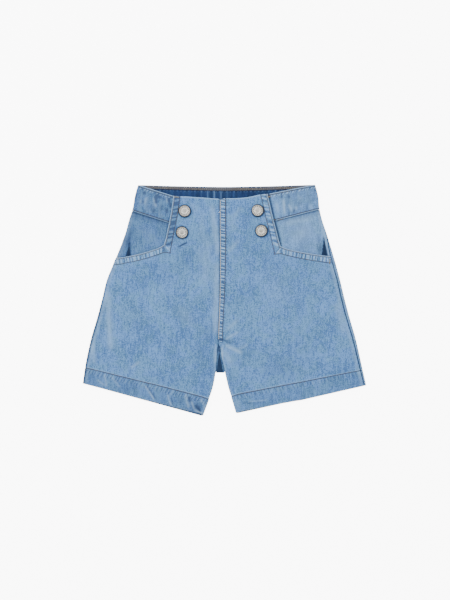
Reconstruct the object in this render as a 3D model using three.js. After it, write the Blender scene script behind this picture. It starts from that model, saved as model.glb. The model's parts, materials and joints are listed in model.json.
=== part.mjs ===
// A child's high-waisted denim shorts, laid flat on a table with the front up.
// Sizes are in millimetres. +X is to the right seen from above, +Y towards the waist, +Z up from the table.
// "left" and "right" are as seen from above. The origin is the middle of the outline, on the table.
// Every cloth piece is a wall on its middle surface, and the surface is worked out from sections across the shorts.
import * as THREE from "three";

// Thickness and sewing
const CLOTH = 1.2;
const BAND_CLOTH = 1.6;
const SEAM_GAP = 0.3;
const SIDE_GAP = 0.8;
const LAYER_GAP = 0.5;
const EDGE_ROW = 1.8;
const SECOND_ROW = 9.6;
const TURNED_EDGE = 10.4;
const TURNED_RAISE = 0.5;
const HEM_RAISE = 0.7;
const HEM_STEP = 0.8;
const HIDDEN_END = 14;
const HIDDEN_FOOT = 17;
const BACK_HEM_SHOWS = 0.8;

// Heights of the middle surfaces above the table
const BACK_Z = CLOTH / 2;
const BAND_BACK_Z = BAND_CLOTH / 2;
const LEG_Z = 4.0;
const WAIST_Z = 4.8;
const BAND_LIFT = (BAND_CLOTH - CLOTH) / 2;
const OVER_FACING = CLOTH + LAYER_GAP;
const OVER_BAND = OVER_FACING + 2 * BAND_LIFT;

// Where the centre seam forks into the two legs, and the fold of the seat between the legs
const CROTCH_Y = -60;
const FORK_LENGTH = 12;
const SEAT_FOLD_Y = -104.3;
const SEAT_FOLD_RADIUS = 1.1;

const clamp01 = (t) => Math.min(1, Math.max(0, t));
const mix = (a, b, t) => a + (b - a) * t;
// 0 at a, 1 at b, with a soft start and end
const ease = (a, b, v) => {
  const t = clamp01((v - a) / (b - a));
  return t * t * (3 - 2 * t);
};

// A smooth line down the garment through a table of places, from the waist down: gives x at a height y.
function line(places) {
  const last = places.length - 1;
  const slope = places.map((_, i) => {
    const above = places[Math.max(i - 1, 0)];
    const below = places[Math.min(i + 1, last)];
    return (below.x - above.x) / (below.y - above.y);
  });
  return (y) => {
    if (y >= places[0].y) return places[0].x + slope[0] * (y - places[0].y);
    if (y <= places[last].y) return places[last].x + slope[last] * (y - places[last].y);
    const i = places.findIndex((p) => p.y < y) - 1;
    const step = places[i + 1].y - places[i].y;
    const t = (y - places[i].y) / step;
    const bend = t * (1 - t) * step;
    const straight = mix(places[i].x, places[i + 1].x, t);
    const chord = (places[i + 1].x - places[i].x) / step;
    return straight + bend * ((1 - t) * (slope[i] - chord) - t * (slope[i + 1] - chord));
  };
}

// The centre seam, front and back
const centreSeam = line([
  { y: 143, x: -7.4 },
  { y: 12, x: -7.2 },
  { y: -60, x: -9.2 },
  { y: -104, x: -7.2 },
]);

// Each half has its outline, its pocket edge and its sections.
// A section says how far up or down it crosses the centre seam, the pocket line and the side.
const HALVES = {
  left: {
    out: -1,
    side: line([
      { y: 162.8, x: -123 },
      { y: 147, x: -127.4 },
      { y: 130, x: -130.4 },
      { y: 112, x: -136.2 },
      { y: 94, x: -141.2 },
      { y: 62, x: -153.4 },
      { y: 28, x: -167.2 },
      { y: 3, x: -173.4 },
      { y: -23, x: -180.2 },
      { y: -57, x: -190 },
      { y: -91, x: -197.4 },
      { y: -119.3, x: -201.6 },
    ]),
    pocketLine: line([
      { y: 147, x: -72.4 },
      { y: 118, x: -76.8 },
      { y: 78, x: -84.6 },
      { y: 0, x: -92 },
      { y: -142, x: -114 },
    ]),
    innerLeg: line([
      { y: -60, x: -9.8 },
      { y: -75, x: -10.2 },
      { y: -104, x: -12.4 },
      { y: -125, x: -16.4 },
      { y: -142, x: -22 },
      { y: -164.7, x: -30.5 },
    ]),
    // How far round the outer edge the side seam lies, on the upper side of the outermost point
    sideSeam: line([
      { y: 126, x: 0 },
      { y: 60, x: 0.4 },
      { y: 0, x: 1.6 },
      { y: -120, x: 1.2 },
    ]),
    waist: { seam: 143, pocket: 147, side: 162.8, sag: 0, dip: -0.3, back: 160.2 },
    bandFoot: { seam: 100, pocket: 108.4, side: 125.6, sag: 0, back: 124.6 },
    pocketEdge: { seam: 64, pocket: 76.5, side: 58.8, sag: -2.6 },
    hemStitch: { seam: -142, pocket: -118.5, side: -96.6, sag: 0 },
    hemEdge: { seam: -164.7, pocket: -142.5, side: -119.3, sag: 0 },
  },
  right: {
    out: 1,
    side: line([
      { y: 163.2, x: 129 },
      { y: 147, x: 133.2 },
      { y: 130, x: 135 },
      { y: 112, x: 139.4 },
      { y: 94, x: 145.2 },
      { y: 62, x: 155 },
      { y: 28, x: 164.4 },
      { y: 3, x: 170.4 },
      { y: -23, x: 177.2 },
      { y: -57, x: 187 },
      { y: -91, x: 194.6 },
      { y: -122, x: 201.6 },
    ]),
    pocketLine: line([
      { y: 149.7, x: 60.8 },
      { y: 118, x: 68.2 },
      { y: 76, x: 78.2 },
      { y: 0, x: 88 },
      { y: -143, x: 110 },
    ]),
    innerLeg: line([
      { y: -60, x: -8.6 },
      { y: -66, x: -5.2 },
      { y: -76, x: -5.2 },
      { y: -103, x: 0.2 },
      { y: -125, x: 5.2 },
      { y: -142, x: 10.7 },
      { y: -161, x: 16.3 },
    ]),
    sideSeam: line([
      { y: 126, x: 0 },
      { y: 92, x: 1.2 },
      { y: 62, x: 4.8 },
      { y: 30, x: 4.8 },
      { y: -40, x: 5 },
      { y: -120, x: 3.4 },
    ]),
    waist: { seam: 142.6, pocket: 149.7, side: 163.2, sag: 0, dip: 1.6, back: 160.2 },
    bandFoot: { seam: 102, pocket: 111, side: 128, sag: 0, back: 124.6 },
    pocketEdge: { seam: 64, pocket: 74.5, side: 61, sag: -1.8 },
    hemStitch: { seam: -138.2, pocket: -118, side: -100.1, sag: 0 },
    hemEdge: { seam: -161, pocket: -143, side: -122, sag: 0 },
  },
};

// The large soft folds of the front, ridges where rise is positive and troughs where it is negative.
// Each runs from one end to the other, and fades out over its width and at its ends.
const FOLDS = [
  { x: -166, y: 12, toX: -158, toY: -76, width: 6, rise: 0.8 },
  { x: -182, y: -40, toX: -184, toY: -90, width: 5, rise: 0.5 },
  { x: -24, y: 92, toX: -30, toY: 8, width: 9, rise: 0.8 },
  { x: -16, y: -20, toX: -40, toY: -84, width: 10, rise: 0.7 },
  { x: -40, y: -96, toX: -52, toY: -36, width: 9, rise: -0.6 },
  { x: -146, y: -96, toX: -118, toY: -84, width: 4, rise: 0.5 },
  { x: -110, y: 40, toX: -124, toY: -30, width: 14, rise: -0.6 },
  { x: -4, y: -72, toX: 22, toY: -96, width: 8, rise: 0.6 },
  { x: 6, y: -62, toX: 44, toY: -78, width: 6, rise: 0.7 },
  { x: 20, y: 46, toX: 40, toY: -40, width: 16, rise: -0.5 },
  { x: 26, y: 110, toX: 8, toY: 50, width: 10, rise: 0.5 },
  { x: 150, y: -2, toX: 166, toY: -66, width: 8, rise: 0.7 },
  { x: 120, y: 34, toX: 112, toY: -60, width: 18, rise: 0.5 },
  { x: -143, y: 84, toX: -146, toY: 62, width: 4, rise: -1.0 },
  { x: 141, y: 88, toX: 146, toY: 64, width: 4.5, rise: -1.2 },
  { x: 130, y: 92, toX: 132, toY: 66, width: 3.5, rise: 0.5 },
];
const foldRise = ({ x, y, toX, toY, width, rise }, px, py) => {
  const length = Math.hypot(toX - x, toY - y);
  const along = ((px - x) * (toX - x) + (py - y) * (toY - y)) / length;
  const across = ((px - x) * (toY - y) - (py - y) * (toX - x)) / length;
  const ends = ease(-width, width * 2, along) * ease(-width, width * 2, length - along);
  return rise * ends * Math.exp(-((across / width) ** 2));
};

// Puckers of the left hem, where the turning is a little twisted: place along the hem and height
const HEM_PUCKERS = [
  { x: -180, rise: 0.35 },
  { x: -172, rise: 0.3 },
  { x: -112, rise: 0.5 },
  { x: -100, rise: -0.3 },
  { x: -78, rise: 0.45 },
  { x: -58, rise: 0.4 },
  { x: -49, rise: 0.55 },
  { x: -38, rise: 0.6 },
];
const PUCKER_WIDTH = 3;
const PUCKER_SLANT = 0.5;

// Middle height of the lowest front layer: the front panel, or the hip piece and the band where they show
function lie(x, y) {
  const level = mix(LEG_Z, WAIST_Z, ease(70, 112, y));
  return level + FOLDS.reduce((sum, fold) => sum + foldRise(fold, x, y), 0);
}

// A section between two others
const between = (a, b, t) => ({
  seam: mix(a.seam, b.seam, t),
  pocket: mix(a.pocket, b.pocket, t),
  side: mix(a.side, b.side, t),
  sag: mix(a.sag, b.sag, t),
  dip: mix(a.dip ?? 0, b.dip ?? 0, t),
});
// A section moved down the garment
const below = (a, drop) => ({ ...a, seam: a.seam - drop, pocket: a.pocket - drop, side: a.side - drop });

// A point where a section crosses a line down the garment
const crossing = (across, y) => new THREE.Vector3(across(y), y, 0);

// Direction in plan, at right angles to a line down the garment, towards +X or -X
function squareTo(across, y, towards) {
  const slope = across(y + 0.5) - across(y - 0.5);
  return new THREE.Vector3(1, -slope, 0).normalize().multiplyScalar(towards);
}

// A point of the cloth that goes round an edge of the flat garment. "round" is the distance along the cloth
// from the outermost point, positive on the upper side and negative on the side that lies on the table.
function roundEdge({ edge, y, into, thickness, top, bottom, round }) {
  const radius = (top - bottom) / 2;
  const turn = Math.max(-Math.PI / 2, Math.min(Math.PI / 2, round / radius));
  const flatRun = Math.max(0, Math.abs(round) - (radius * Math.PI) / 2);
  const inward = thickness / 2 + radius * (1 - Math.cos(turn)) + flatRun;
  const point = crossing(edge, y).addScaledVector(squareTo(edge, y, into), inward);
  point.z = (top + bottom) / 2 + radius * Math.sin(turn);
  return point;
}

// A point on the side edge of a section. "course" gives the height of the section at a distance from the edge.
function sidePoint({ side, course, round, fromSeam = true, thickness = CLOTH, bottom = BACK_Z, raised }) {
  let y = course(0);
  let point;
  for (let pass = 0; pass < 3; pass++) {
    const edgeX = side.side(y);
    const top = lie(edgeX - side.out * 3, y) + (raised ? raised(edgeX - side.out * 2, y) : 0);
    point = roundEdge({
      edge: side.side, y, into: -side.out, thickness, top, bottom,
      round: round + (fromSeam ? side.sideSeam(y) : 0),
    });
    if (pass < 2) y += course(Math.abs(point.x - edgeX)) - point.y;
  }
  return point;
}
// The height of a section at a distance from the side, on its way to another point
const courseTo = (x, from, to, sag = 0) => {
  const width = Math.abs(x - to.x);
  return (inward) => {
    const share = inward / width;
    return mix(from, to.y, share) + sag * 4 * share * (1 - share);
  };
};

// How far the front panel is lifted by the hip piece and the end of the band that lie under it
function pocketEdgeY(half, x) {
  const { pocketLine, side, pocketEdge } = half;
  const start = pocketLine(pocketEdge.pocket);
  const t = clamp01((x - start) / (side(pocketEdge.side) - start));
  return mix(pocketEdge.pocket, pocketEdge.side, t) + pocketEdge.sag * 4 * t * (1 - t);
}
function hiddenFoot(half, x, y) {
  const fromSide = Math.abs(half.side(y) - x);
  return mix(4, HIDDEN_FOOT, ease(4, 34, fromSide));
}
function lift(half, x, y) {
  const pastEnd = half.out * (half.pocketLine(y) - x) - HIDDEN_END;
  const pastFoot = pocketEdgeY(half, x) - hiddenFoot(half, x, y) - y;
  const away = Math.hypot(Math.max(0, pastEnd), Math.max(0, pastFoot));
  const over = mix(OVER_FACING, OVER_BAND, ease(84, 100, y));
  return over * (1 - ease(3, 20, away));
}

// A closed wall of cloth on patches of four-sided cells. Patches that share points are joined.
// "outside" and "inside" give how far the two faces lie from the middle surface at a point of a patch.
function clothWall(patches, flip = false) {
  const ids = new Map();
  const middle = [];
  const faces = [];
  const outside = [];
  const inside = [];
  for (const patch of patches) {
    const id = patch.points.map((row, r) =>
      row.map((point, c) => {
        if (!point) return -1;
        const key = point.toArray().map((v) => Math.round(v * 1000)).join();
        if (!ids.has(key)) {
          ids.set(key, middle.length);
          middle.push(point);
          outside.push(patch.outside(r, c, point));
          inside.push(patch.inside(r, c, point));
        }
        return ids.get(key);
      }),
    );
    for (let r = 0; r + 1 < id.length; r++)
      for (let c = 0; c + 1 < id[r].length; c++) {
        const cell = [id[r][c], id[r][c + 1], id[r + 1][c + 1], id[r + 1][c]];
        if (cell.includes(-1)) continue;
        const corners = cell.filter((v, i) => v !== cell[(i + 3) % 4]);
        if (flip) corners.reverse();
        for (let i = 2; i < corners.length; i++) faces.push([corners[0], corners[i - 1], corners[i]]);
      }
  }
  const normals = middle.map(() => new THREE.Vector3());
  for (const [a, b, c] of faces) {
    const ab = new THREE.Vector3().subVectors(middle[b], middle[a]);
    const ac = new THREE.Vector3().subVectors(middle[c], middle[a]);
    const square = ab.cross(ac);
    for (const v of [a, b, c]) normals[v].add(square);
  }
  normals.forEach((n) => n.normalize());
  const count = middle.length;
  const points = [
    ...middle.map((p, i) => p.clone().addScaledVector(normals[i], outside[i])),
    ...middle.map((p, i) => p.clone().addScaledVector(normals[i], -inside[i])),
  ];
  const index = [];
  const edges = new Set();
  for (const [a, b, c] of faces) {
    index.push(a, b, c, a + count, c + count, b + count);
    for (const [from, to] of [[a, b], [b, c], [c, a]]) edges.add(from + "," + to);
  }
  for (const edge of edges) {
    const [from, to] = edge.split(",").map(Number);
    if (edges.has(to + "," + from)) continue;
    index.push(to, from, from + count, to, from + count, to + count);
  }
  return new THREE.BufferGeometry().setFromPoints(points).setIndex(index);
}
const half = () => CLOTH / 2;

// Evenly spaced numbers strictly between two others
const spaced = (from, to, count) => Array.from({ length: count }, (_, i) => mix(from, to, (i + 1) / (count + 1)));

// FRONT PANELS: from the waist to the hem, with the pocket edge cut away at the upper outer corner.
const SEAM_COLUMNS = [SEAM_GAP / 2, EDGE_ROW, 5.7, SECOND_ROW, TURNED_EDGE];
const LEG_COLUMNS = [SEAM_GAP / 2, 0.6, 2.2, 6.5, TURNED_EDGE];
const POCKET_COLUMNS = [TURNED_EDGE, SECOND_ROW, 5.7, EDGE_ROW, 0];
const SIDE_COLUMNS = [13, 6, 2.4, 0.6, SEAM_GAP / 2];
const HIP_ROWS = [0, 0.04, 0.2, 0.36, 0.52, 0.68, 0.82, 0.92, 1];
const MIDDLE_COLUMNS = 4;
const OUTER_COLUMNS = 6;
// The double seam down the centre narrows towards the crotch
const seamWidth = (y) => mix(0.7, 1, ease(-60, 100, y));

function frontLevels(side) {
  const { waist, pocketEdge, hemStitch, hemEdge } = side;
  const upper = [0, 0.03, 0.17, 0.33, 0.49, 0.65, 0.8, 0.91].map((t) => between(waist, pocketEdge, t));
  const bandRows = [0, EDGE_ROW, 5.7, SECOND_ROW, TURNED_EDGE].map((d) => below(pocketEdge, d));
  const bandFoot = bandRows.at(-1);
  const leg = spaced(0, 1, 14).map((t) => between(bandFoot, hemStitch, t));
  const step = HEM_STEP / (hemStitch.seam - hemEdge.seam);
  const hem = [0, step, 0.35, 0.68, 1].map((t) => between(hemStitch, hemEdge, t));
  return { upper, bandRows, leg, hem };
}

// The corner of the pocket opening is rounded: cloth near it is moved up and out a little
const CORNER_FILL = 1.5;
function roundCorner(side, plan) {
  const corner = crossing(side.pocketLine, side.pocketEdge.pocket);
  const x = (plan.x - corner.x) * side.out;
  const y = plan.y - corner.y;
  const fill = CORNER_FILL * (1 - ease(0, 10, Math.abs(x - y) / Math.SQRT2)) * (1 - ease(8, 26, -(x + y)));
  plan.x += side.out * fill * 0.7;
  plan.y += fill * 0.7;
  return plan;
}

function frontPoint(side, plan) {
  roundCorner(side, plan);
  plan.z = lie(plan.x, plan.y) + lift(side, plan.x, plan.y);
  return plan;
}

function frontRow(side, level, reachesSide) {
  const seam = crossing(centreSeam, level.seam);
  const pocket = crossing(side.pocketLine, level.pocket);
  const across = pocket.clone().sub(seam).normalize();
  const fork = ease(CROTCH_Y, CROTCH_Y - FORK_LENGTH, level.seam);
  const legTop = lie(side.innerLeg(level.seam) + side.out * 4, level.seam);
  const row = SEAM_COLUMNS.map((width, i) => {
    const scaled = i === 0 ? width : width * seamWidth(level.seam);
    const flat = frontPoint(side, seam.clone().addScaledVector(across, scaled));
    if (fork === 0) return flat;
    const turned = roundEdge({
      edge: side.innerLeg, y: level.seam, into: side.out, thickness: CLOTH,
      top: legTop, bottom: BACK_Z, round: LEG_COLUMNS[i],
    });
    return flat.lerp(turned, fork);
  });
  const start = row.at(-1).clone();
  const end = pocket.clone().addScaledVector(across, -TURNED_EDGE);
  for (const t of spaced(0, 1, MIDDLE_COLUMNS)) {
    const plan = start.clone().lerp(end, t);
    plan.y -= (level.dip ?? 0) * 4 * t * (1 - t);
    row.push(frontPoint(side, plan));
  }
  for (const d of POCKET_COLUMNS) row.push(frontPoint(side, pocket.clone().addScaledVector(across, -d)));
  const outerCount = OUTER_COLUMNS + SIDE_COLUMNS.length;
  if (!reachesSide) return row.concat(Array(outerCount).fill(null));
  const sideX = side.side(level.side);
  const course = courseTo(sideX, level.side, pocket, level.sag);
  const raised = (x, y) => lift(side, x, y);
  const edge = SIDE_COLUMNS.map((d) => sidePoint({ side, course, round: d, raised }));
  for (const t of spaced(0, 1, OUTER_COLUMNS)) {
    const plan = pocket.clone().lerp(edge[0], t);
    plan.y = course(Math.abs(plan.x - sideX));
    row.push(frontPoint(side, plan));
  }
  edge.forEach((point, i) => row.push(i === 0 ? frontPoint(side, point) : point));
  return row;
}

function hemPucker(point, level) {
  const down = clamp01((level - 0.1) / 0.5);
  return HEM_PUCKERS.reduce((sum, { x, rise }) => {
    const away = point.x - x - PUCKER_SLANT * (1 - level) * 20;
    return sum + rise * down * Math.exp(-((away / PUCKER_WIDTH) ** 2));
  }, 0);
}

function frontPanel(side) {
  const { upper, bandRows, leg, hem } = frontLevels(side);
  const rows = [
    ...upper.map((level) => frontRow(side, level, false)),
    ...[...bandRows, ...leg, ...hem].map((level) => frontRow(side, level, true)),
  ];
  const pocketEnd = SEAM_COLUMNS.length + MIDDLE_COLUMNS + POCKET_COLUMNS.length - 1;
  const firstLeg = upper.length + bandRows.length;
  const firstHem = firstLeg + leg.length;
  const outside = (r, c, point) => {
    const besidePocket = c > pocketEnd - POCKET_COLUMNS.length + 1 && c <= pocketEnd && r < firstLeg - 1;
    const underPocket = r >= upper.length && r < firstLeg - 1 && c > pocketEnd;
    const turned = besidePocket || underPocket;
    const felled = side.out > 0 && c < SEAM_COLUMNS.length - 1 && point.y > CROTCH_Y;
    const hemmed = r > firstHem;
    const pucker = hemmed && side.out < 0 ? hemPucker(point, (r - firstHem) / (hem.length - 1)) : 0;
    return CLOTH / 2 + (turned || felled ? TURNED_RAISE : 0) + (hemmed ? HEM_RAISE + pucker : 0);
  };
  return clothWall([{ points: rows, outside, inside: half }], side.out > 0);
}

// HIP PIECES: sewn under the band, they show in the pocket opening and end under the front panel.
function hipPiece(side) {
  const { bandFoot, pocketEdge } = side;
  const first = below(bandFoot, SEAM_GAP);
  const rows = HIP_ROWS.map((t) => {
    const level = between(first, pocketEdge, t);
    const hidden = t === 1 ? 1 : 0;
    const sideY = level.side + t * SEAM_GAP;
    const sideX = side.side(sideY);
    const pocket = crossing(side.pocketLine, level.pocket);
    const course = courseTo(sideX, sideY, pocket, level.sag);
    const edge = [SEAM_GAP / 2, 0.6, 2.4, 6, 12].map((round) => sidePoint({ side, course, round }));
    edge[3].y -= hidden * 3;
    edge[4].y -= hidden * (hiddenFoot(side, edge[4].x, edge[4].y) - 2);
    const endX = pocket.x - side.out * HIDDEN_END;
    const inner = [...spaced(0, 1, 6), 1].map((s) => {
      const x = mix(edge[4].x, endX, s);
      const plan = new THREE.Vector3(x, course(Math.abs(x - sideX)), 0);
      plan.y -= hidden * (hiddenFoot(side, x, plan.y) - 2);
      plan.z = lie(plan.x, plan.y);
      return plan;
    });
    return [...edge, ...inner];
  });
  return clothWall([{ points: rows, outside: half, inside: half }], side.out < 0);
}

// BACK PANELS: they lie on the table, go round the side edge and meet the front at the side seam.
// Between the legs the seat folds up, and shows between the two front panels.
const BACK_COLUMNS = 6;
const ROUND_COLUMNS = [-14, -7];
function backPanel(side) {
  const { bandFoot, pocketEdge, hemStitch, hemEdge } = side;
  const into = side.out;
  const foldRow = SEAT_FOLD_Y + CLOTH / 2 + SEAT_FOLD_RADIUS;
  const { leg } = frontLevels(side);
  const top = { seam: bandFoot.back - 2 * SEAM_GAP, side: bandFoot.side - SEAM_GAP };
  const seatSides = [
    ...HIP_ROWS.filter((t) => t === 0 || (t > 0.1 && t < 0.9)).map((t) => mix(top.side, pocketEdge.side, t)),
    pocketEdge.side,
    pocketEdge.side - TURNED_EDGE,
    ...[1, 3, 5, 7, 9, 11].map((i) => leg[i].side),
  ];
  const lastSeat = seatSides.length - 1;
  const seat = seatSides.map((y, i) => ({ seam: mix(top.seam, foldRow, i / lastSeat), side: y }));
  const thigh = [leg[12], leg[13], hemStitch];
  const pair = (a, b, t) => ({ seam: mix(a.seam, b.seam, t), side: mix(a.side, b.side, t) });
  const shown = { seam: hemEdge.seam - BACK_HEM_SHOWS, side: hemEdge.side };
  const step = HEM_STEP / (hemStitch.seam - hemEdge.seam);
  const hem = [step, 0.5, 1].map((t) => pair(hemStitch, shown, t));
  const levels = [...seat, ...thigh, ...hem];

  // The line where the flat part ends beside the inner leg, and runs on up the seat
  const legTop = (y) => lie(side.innerLeg(y) + into * 4, y);
  const legPoint = (y, round) =>
    roundEdge({
      edge: side.innerLeg, y, into, thickness: CLOTH, top: legTop(y), bottom: BACK_Z, round,
    });
  const legFoot = (y) => {
    const radius = (legTop(Math.min(y, foldRow)) - BACK_Z) / 2;
    return legPoint(Math.min(y, foldRow), (-radius * Math.PI) / 2).setY(y);
  };

  const main = levels.map((level) => {
    const foot = legFoot(level.seam);
    const sideTop = lie(side.side(level.side) - side.out * 3, level.side);
    const radius = (sideTop - BACK_Z) / 2;
    const quarter = (radius * Math.PI) / 2;
    const course = courseTo(side.side(level.side), level.side, foot);
    const end = side.sideSeam(level.side) - SIDE_GAP / 2;
    const nearEnd = end - 0.45;
    const rounds = [...ROUND_COLUMNS, -quarter, ...spaced(-quarter, nearEnd, 3)];
    const edge = rounds.map((round) => sidePoint({ side, course, round, fromSeam: false }));
    for (const before of [0.45, 0]) edge.push(sidePoint({ side, course, round: -SIDE_GAP / 2 - before }));
    const flat = spaced(0, 1, BACK_COLUMNS).map((t) => foot.clone().lerp(edge[0], t));
    return [foot, ...flat, ...edge];
  });
  const seatSeam = (y) => crossing(centreSeam, y).add(new THREE.Vector3(into * SEAM_GAP / 2, 0, BACK_Z));
  const seatStrip = seat.map((level) => [seatSeam(level.seam), legFoot(level.seam)]);
  const legRound = levels.slice(lastSeat).map((level, r) => {
    const foot = legFoot(level.seam);
    if (r === 0) return [foot, foot, foot, foot];
    const quarter = (((legTop(level.seam) - BACK_Z) / 2) * Math.PI) / 2;
    return [-SIDE_GAP / 2, -0.9, -quarter * 0.65].map((round) => legPoint(level.seam, round)).concat(foot);
  });
  // The fold of the seat: down to its lowest point, up and back towards the fork of the legs
  const stripWidth = (y) => {
    const clear = side.innerLeg(y) - into * LAYER_GAP;
    return Math.max(0.9, into * (clear - centreSeam(y)));
  };
  const foldTurn = [0.25, 0.5, 0.75, 1].map((t) => {
    const turn = t * Math.PI;
    return {
      y: foldRow - SEAT_FOLD_RADIUS * Math.sin(turn),
      z: BACK_Z + SEAT_FOLD_RADIUS * (1 - Math.cos(turn)),
    };
  });
  const foldRun = [-96, -88, -81, -74.5].map((y) => ({ y, z: mix(2.8, 3.4, ease(-96, -74, y)) }));
  const foldStrip = [
    [seatSeam(foldRow), legFoot(foldRow)],
    ...[...foldTurn, ...foldRun].map(({ y, z }) => {
      const seam = seatSeam(y).setZ(z);
      return [seam, seam.clone().setX(seam.x + into * stripWidth(y))];
    }),
  ];
  const hemRow = lastSeat + thigh.length;
  const inside = (r) => CLOTH / 2 + (r > hemRow ? HEM_RAISE : 0);
  const patch = (points, insideAt = half) => ({ points, outside: half, inside: insideAt });
  return clothWall(
    [
      patch(main, (r) => inside(r)),
      patch(seatStrip),
      patch(legRound, (r) => inside(r + lastSeat)),
      patch(foldStrip),
    ],
    side.out < 0,
  );
}

// WAISTBAND: one strip from under the left pocket edge, round the back, to under the right pocket edge.
// The elastic inside draws its ends into soft puckers near the sides.
const BAND_FRONT_COLUMNS = 11;
const BAND_BACK_COLUMNS = 12;
const BAND_PUCKERS = [
  { x: -119, lean: 4, rise: 0.4 },
  { x: -109, lean: 6, rise: 0.5 },
  { x: -100, lean: 7, rise: 0.6 },
  { x: -91, lean: 5, rise: 0.5 },
  { x: 84, lean: -5, rise: 0.4 },
  { x: 95, lean: -7, rise: 0.45 },
  { x: 107, lean: -8, rise: 0.4 },
  { x: 120, lean: -5, rise: 0.35 },
];
const bandPucker = (point, share) =>
  BAND_PUCKERS.reduce((sum, { x, lean, rise }) => {
    const away = point.x - x - lean * (0.5 - share);
    return sum + rise * Math.exp(-((away / 3) ** 2)) * Math.sin(Math.PI * clamp01(share * 0.9 + 0.05));
  }, 0);

function bandHalf(side, share) {
  const { waist, bandFoot } = side;
  const pocketY = mix(waist.pocket, bandFoot.pocket, share);
  const sideY = mix(waist.side, bandFoot.side, share);
  const backY = mix(waist.back, bandFoot.back, share);
  const inner = crossing(side.pocketLine, pocketY);
  const sideX = side.side(sideY);
  const middle = new THREE.Vector3(0, backY, BAND_BACK_Z);
  const over = courseTo(sideX, sideY, inner);
  const under = courseTo(sideX, sideY, middle);
  const at = (round) =>
    sidePoint({
      side, course: round > 0 ? over : under, round, fromSeam: false,
      thickness: BAND_CLOTH, bottom: BAND_BACK_Z, raised: () => BAND_LIFT,
    });
  const start = at(12);
  const end = inner.clone().add(inner.clone().sub(start).setLength(HIDDEN_END));
  const front = [0, ...spaced(0, 1, BAND_FRONT_COLUMNS)].map((t) => {
    const plan = end.clone().lerp(start, t);
    plan.z = lie(plan.x, plan.y) + BAND_LIFT;
    return plan;
  });
  const edge = [12, 6, 3.3, 1.6, 0, -1.6, -3.3, -12].map(at);
  const back = spaced(0, 1, BAND_BACK_COLUMNS / 2).map((t) => {
    const plan = edge.at(-1).clone().lerp(middle, t);
    plan.y = mix(backY, edge.at(-1).y, (1 - t) ** mix(1.5, 1, share));
    return plan;
  });
  return { points: [...front, ...edge, ...back], middle };
}

function waistband() {
  const shares = [0, 0.06, 0.35, 0.65, 0.94, 1];
  const rows = shares.map((share) => {
    const left = bandHalf(HALVES.left, share);
    const right = bandHalf(HALVES.right, share);
    return [...left.points, left.middle, ...right.points.reverse()];
  });
  const outside = (r, c, point) => {
    const onTop = point.z > (BAND_BACK_Z + WAIST_Z) / 2;
    return BAND_CLOTH / 2 + (onTop ? bandPucker(point, shares[r]) : 0);
  };
  return clothWall([{ points: rows, outside, inside: () => BAND_CLOTH / 2 }], false);
}

// BAND FACING: the inside of the band at the back, gathered by the elastic. It shows in the waist opening.
const GATHERS = 27;
const GATHER_STEPS = 4;
const GATHER_RISE = 0.55;
const FACING_DROP = 1.6;
const FACING_REACH = 33;
const FACING_ENDS = { left: -113, right: 119 };
const FACING_Z = BAND_CLOTH + SEAM_GAP + CLOTH / 2;
function bandFacing() {
  const columns = GATHERS * GATHER_STEPS;
  const rows = [0, 0.12, 0.55, 1].map((down) =>
    Array.from({ length: columns + 1 }, (_, c) => {
      const t = c / columns;
      const x = mix(FACING_ENDS.left, FACING_ENDS.right, t);
      const rise = HALVES.left.waist.back + 3 * Math.abs(2 * t - 1) ** 1.5;
      return new THREE.Vector3(x, rise - FACING_DROP - down * FACING_REACH, FACING_Z);
    }),
  );
  // Uneven gathers: every wave has its own height, and the waves drift along the band
  const outside = (r, c) => {
    const t = c / columns;
    const drift = 0.9 * Math.sin(7.3 * t) + 0.6 * Math.sin(19.1 * t + 1);
    const wave = 0.5 - 0.5 * Math.cos(2 * Math.PI * (c / GATHER_STEPS) + drift);
    const height = 0.65 + 0.35 * Math.sin(13.7 * t + 2);
    const ends = ease(0, 0.06, t) * ease(0, 0.06, 1 - t);
    const fromTop = r === 0 ? 0.25 : 1;
    return CLOTH / 2 + GATHER_RISE * wave * height * ends * fromTop;
  };
  return clothWall([{ points: rows, outside, inside: half }], true);
}

// BUTTONS: four metal shank buttons beside the pocket edges, each square to the cloth under it.
const BUTTONS = [
  { name: "button_left_upper", x: -56.8, y: 125.5, side: HALVES.left },
  { name: "button_left_lower", x: -60.6, y: 95.3, side: HALVES.left },
  { name: "button_right_upper", x: 47, y: 126.2, side: HALVES.right },
  { name: "button_right_lower", x: 52.4, y: 97.7, side: HALVES.right },
];
const BUTTON_RADIUS = 8.5;
const BUTTON_HEIGHT = 2.9;
const NECK_RADIUS = 4.2;
const NECK_HEIGHT = 1.1;
const BUTTON_SIDES = 22;
const buttonProfile = [
  { r: 0, z: 0 },
  { r: NECK_RADIUS, z: 0 },
  { r: NECK_RADIUS, z: NECK_HEIGHT },
  { r: BUTTON_RADIUS - 0.7, z: NECK_HEIGHT },
  { r: BUTTON_RADIUS, z: NECK_HEIGHT + 0.6 },
  { r: BUTTON_RADIUS - 0.1, z: BUTTON_HEIGHT - 0.5 },
  { r: BUTTON_RADIUS - 0.6, z: BUTTON_HEIGHT },
  { r: BUTTON_RADIUS - 1.2, z: BUTTON_HEIGHT },
  { r: BUTTON_RADIUS - 1.6, z: BUTTON_HEIGHT - 0.4 },
  { r: 3.6, z: BUTTON_HEIGHT - 0.4 },
  { r: 3.1, z: BUTTON_HEIGHT },
  { r: 1.2, z: BUTTON_HEIGHT + 0.1 },
  { r: 0, z: BUTTON_HEIGHT + 0.1 },
];
const buttonGeometry = () => {
  const profile = buttonProfile.map(({ r, z }) => new THREE.Vector2(r, z));
  return new THREE.LatheGeometry(profile, BUTTON_SIDES).rotateX(Math.PI / 2);
};

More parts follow.
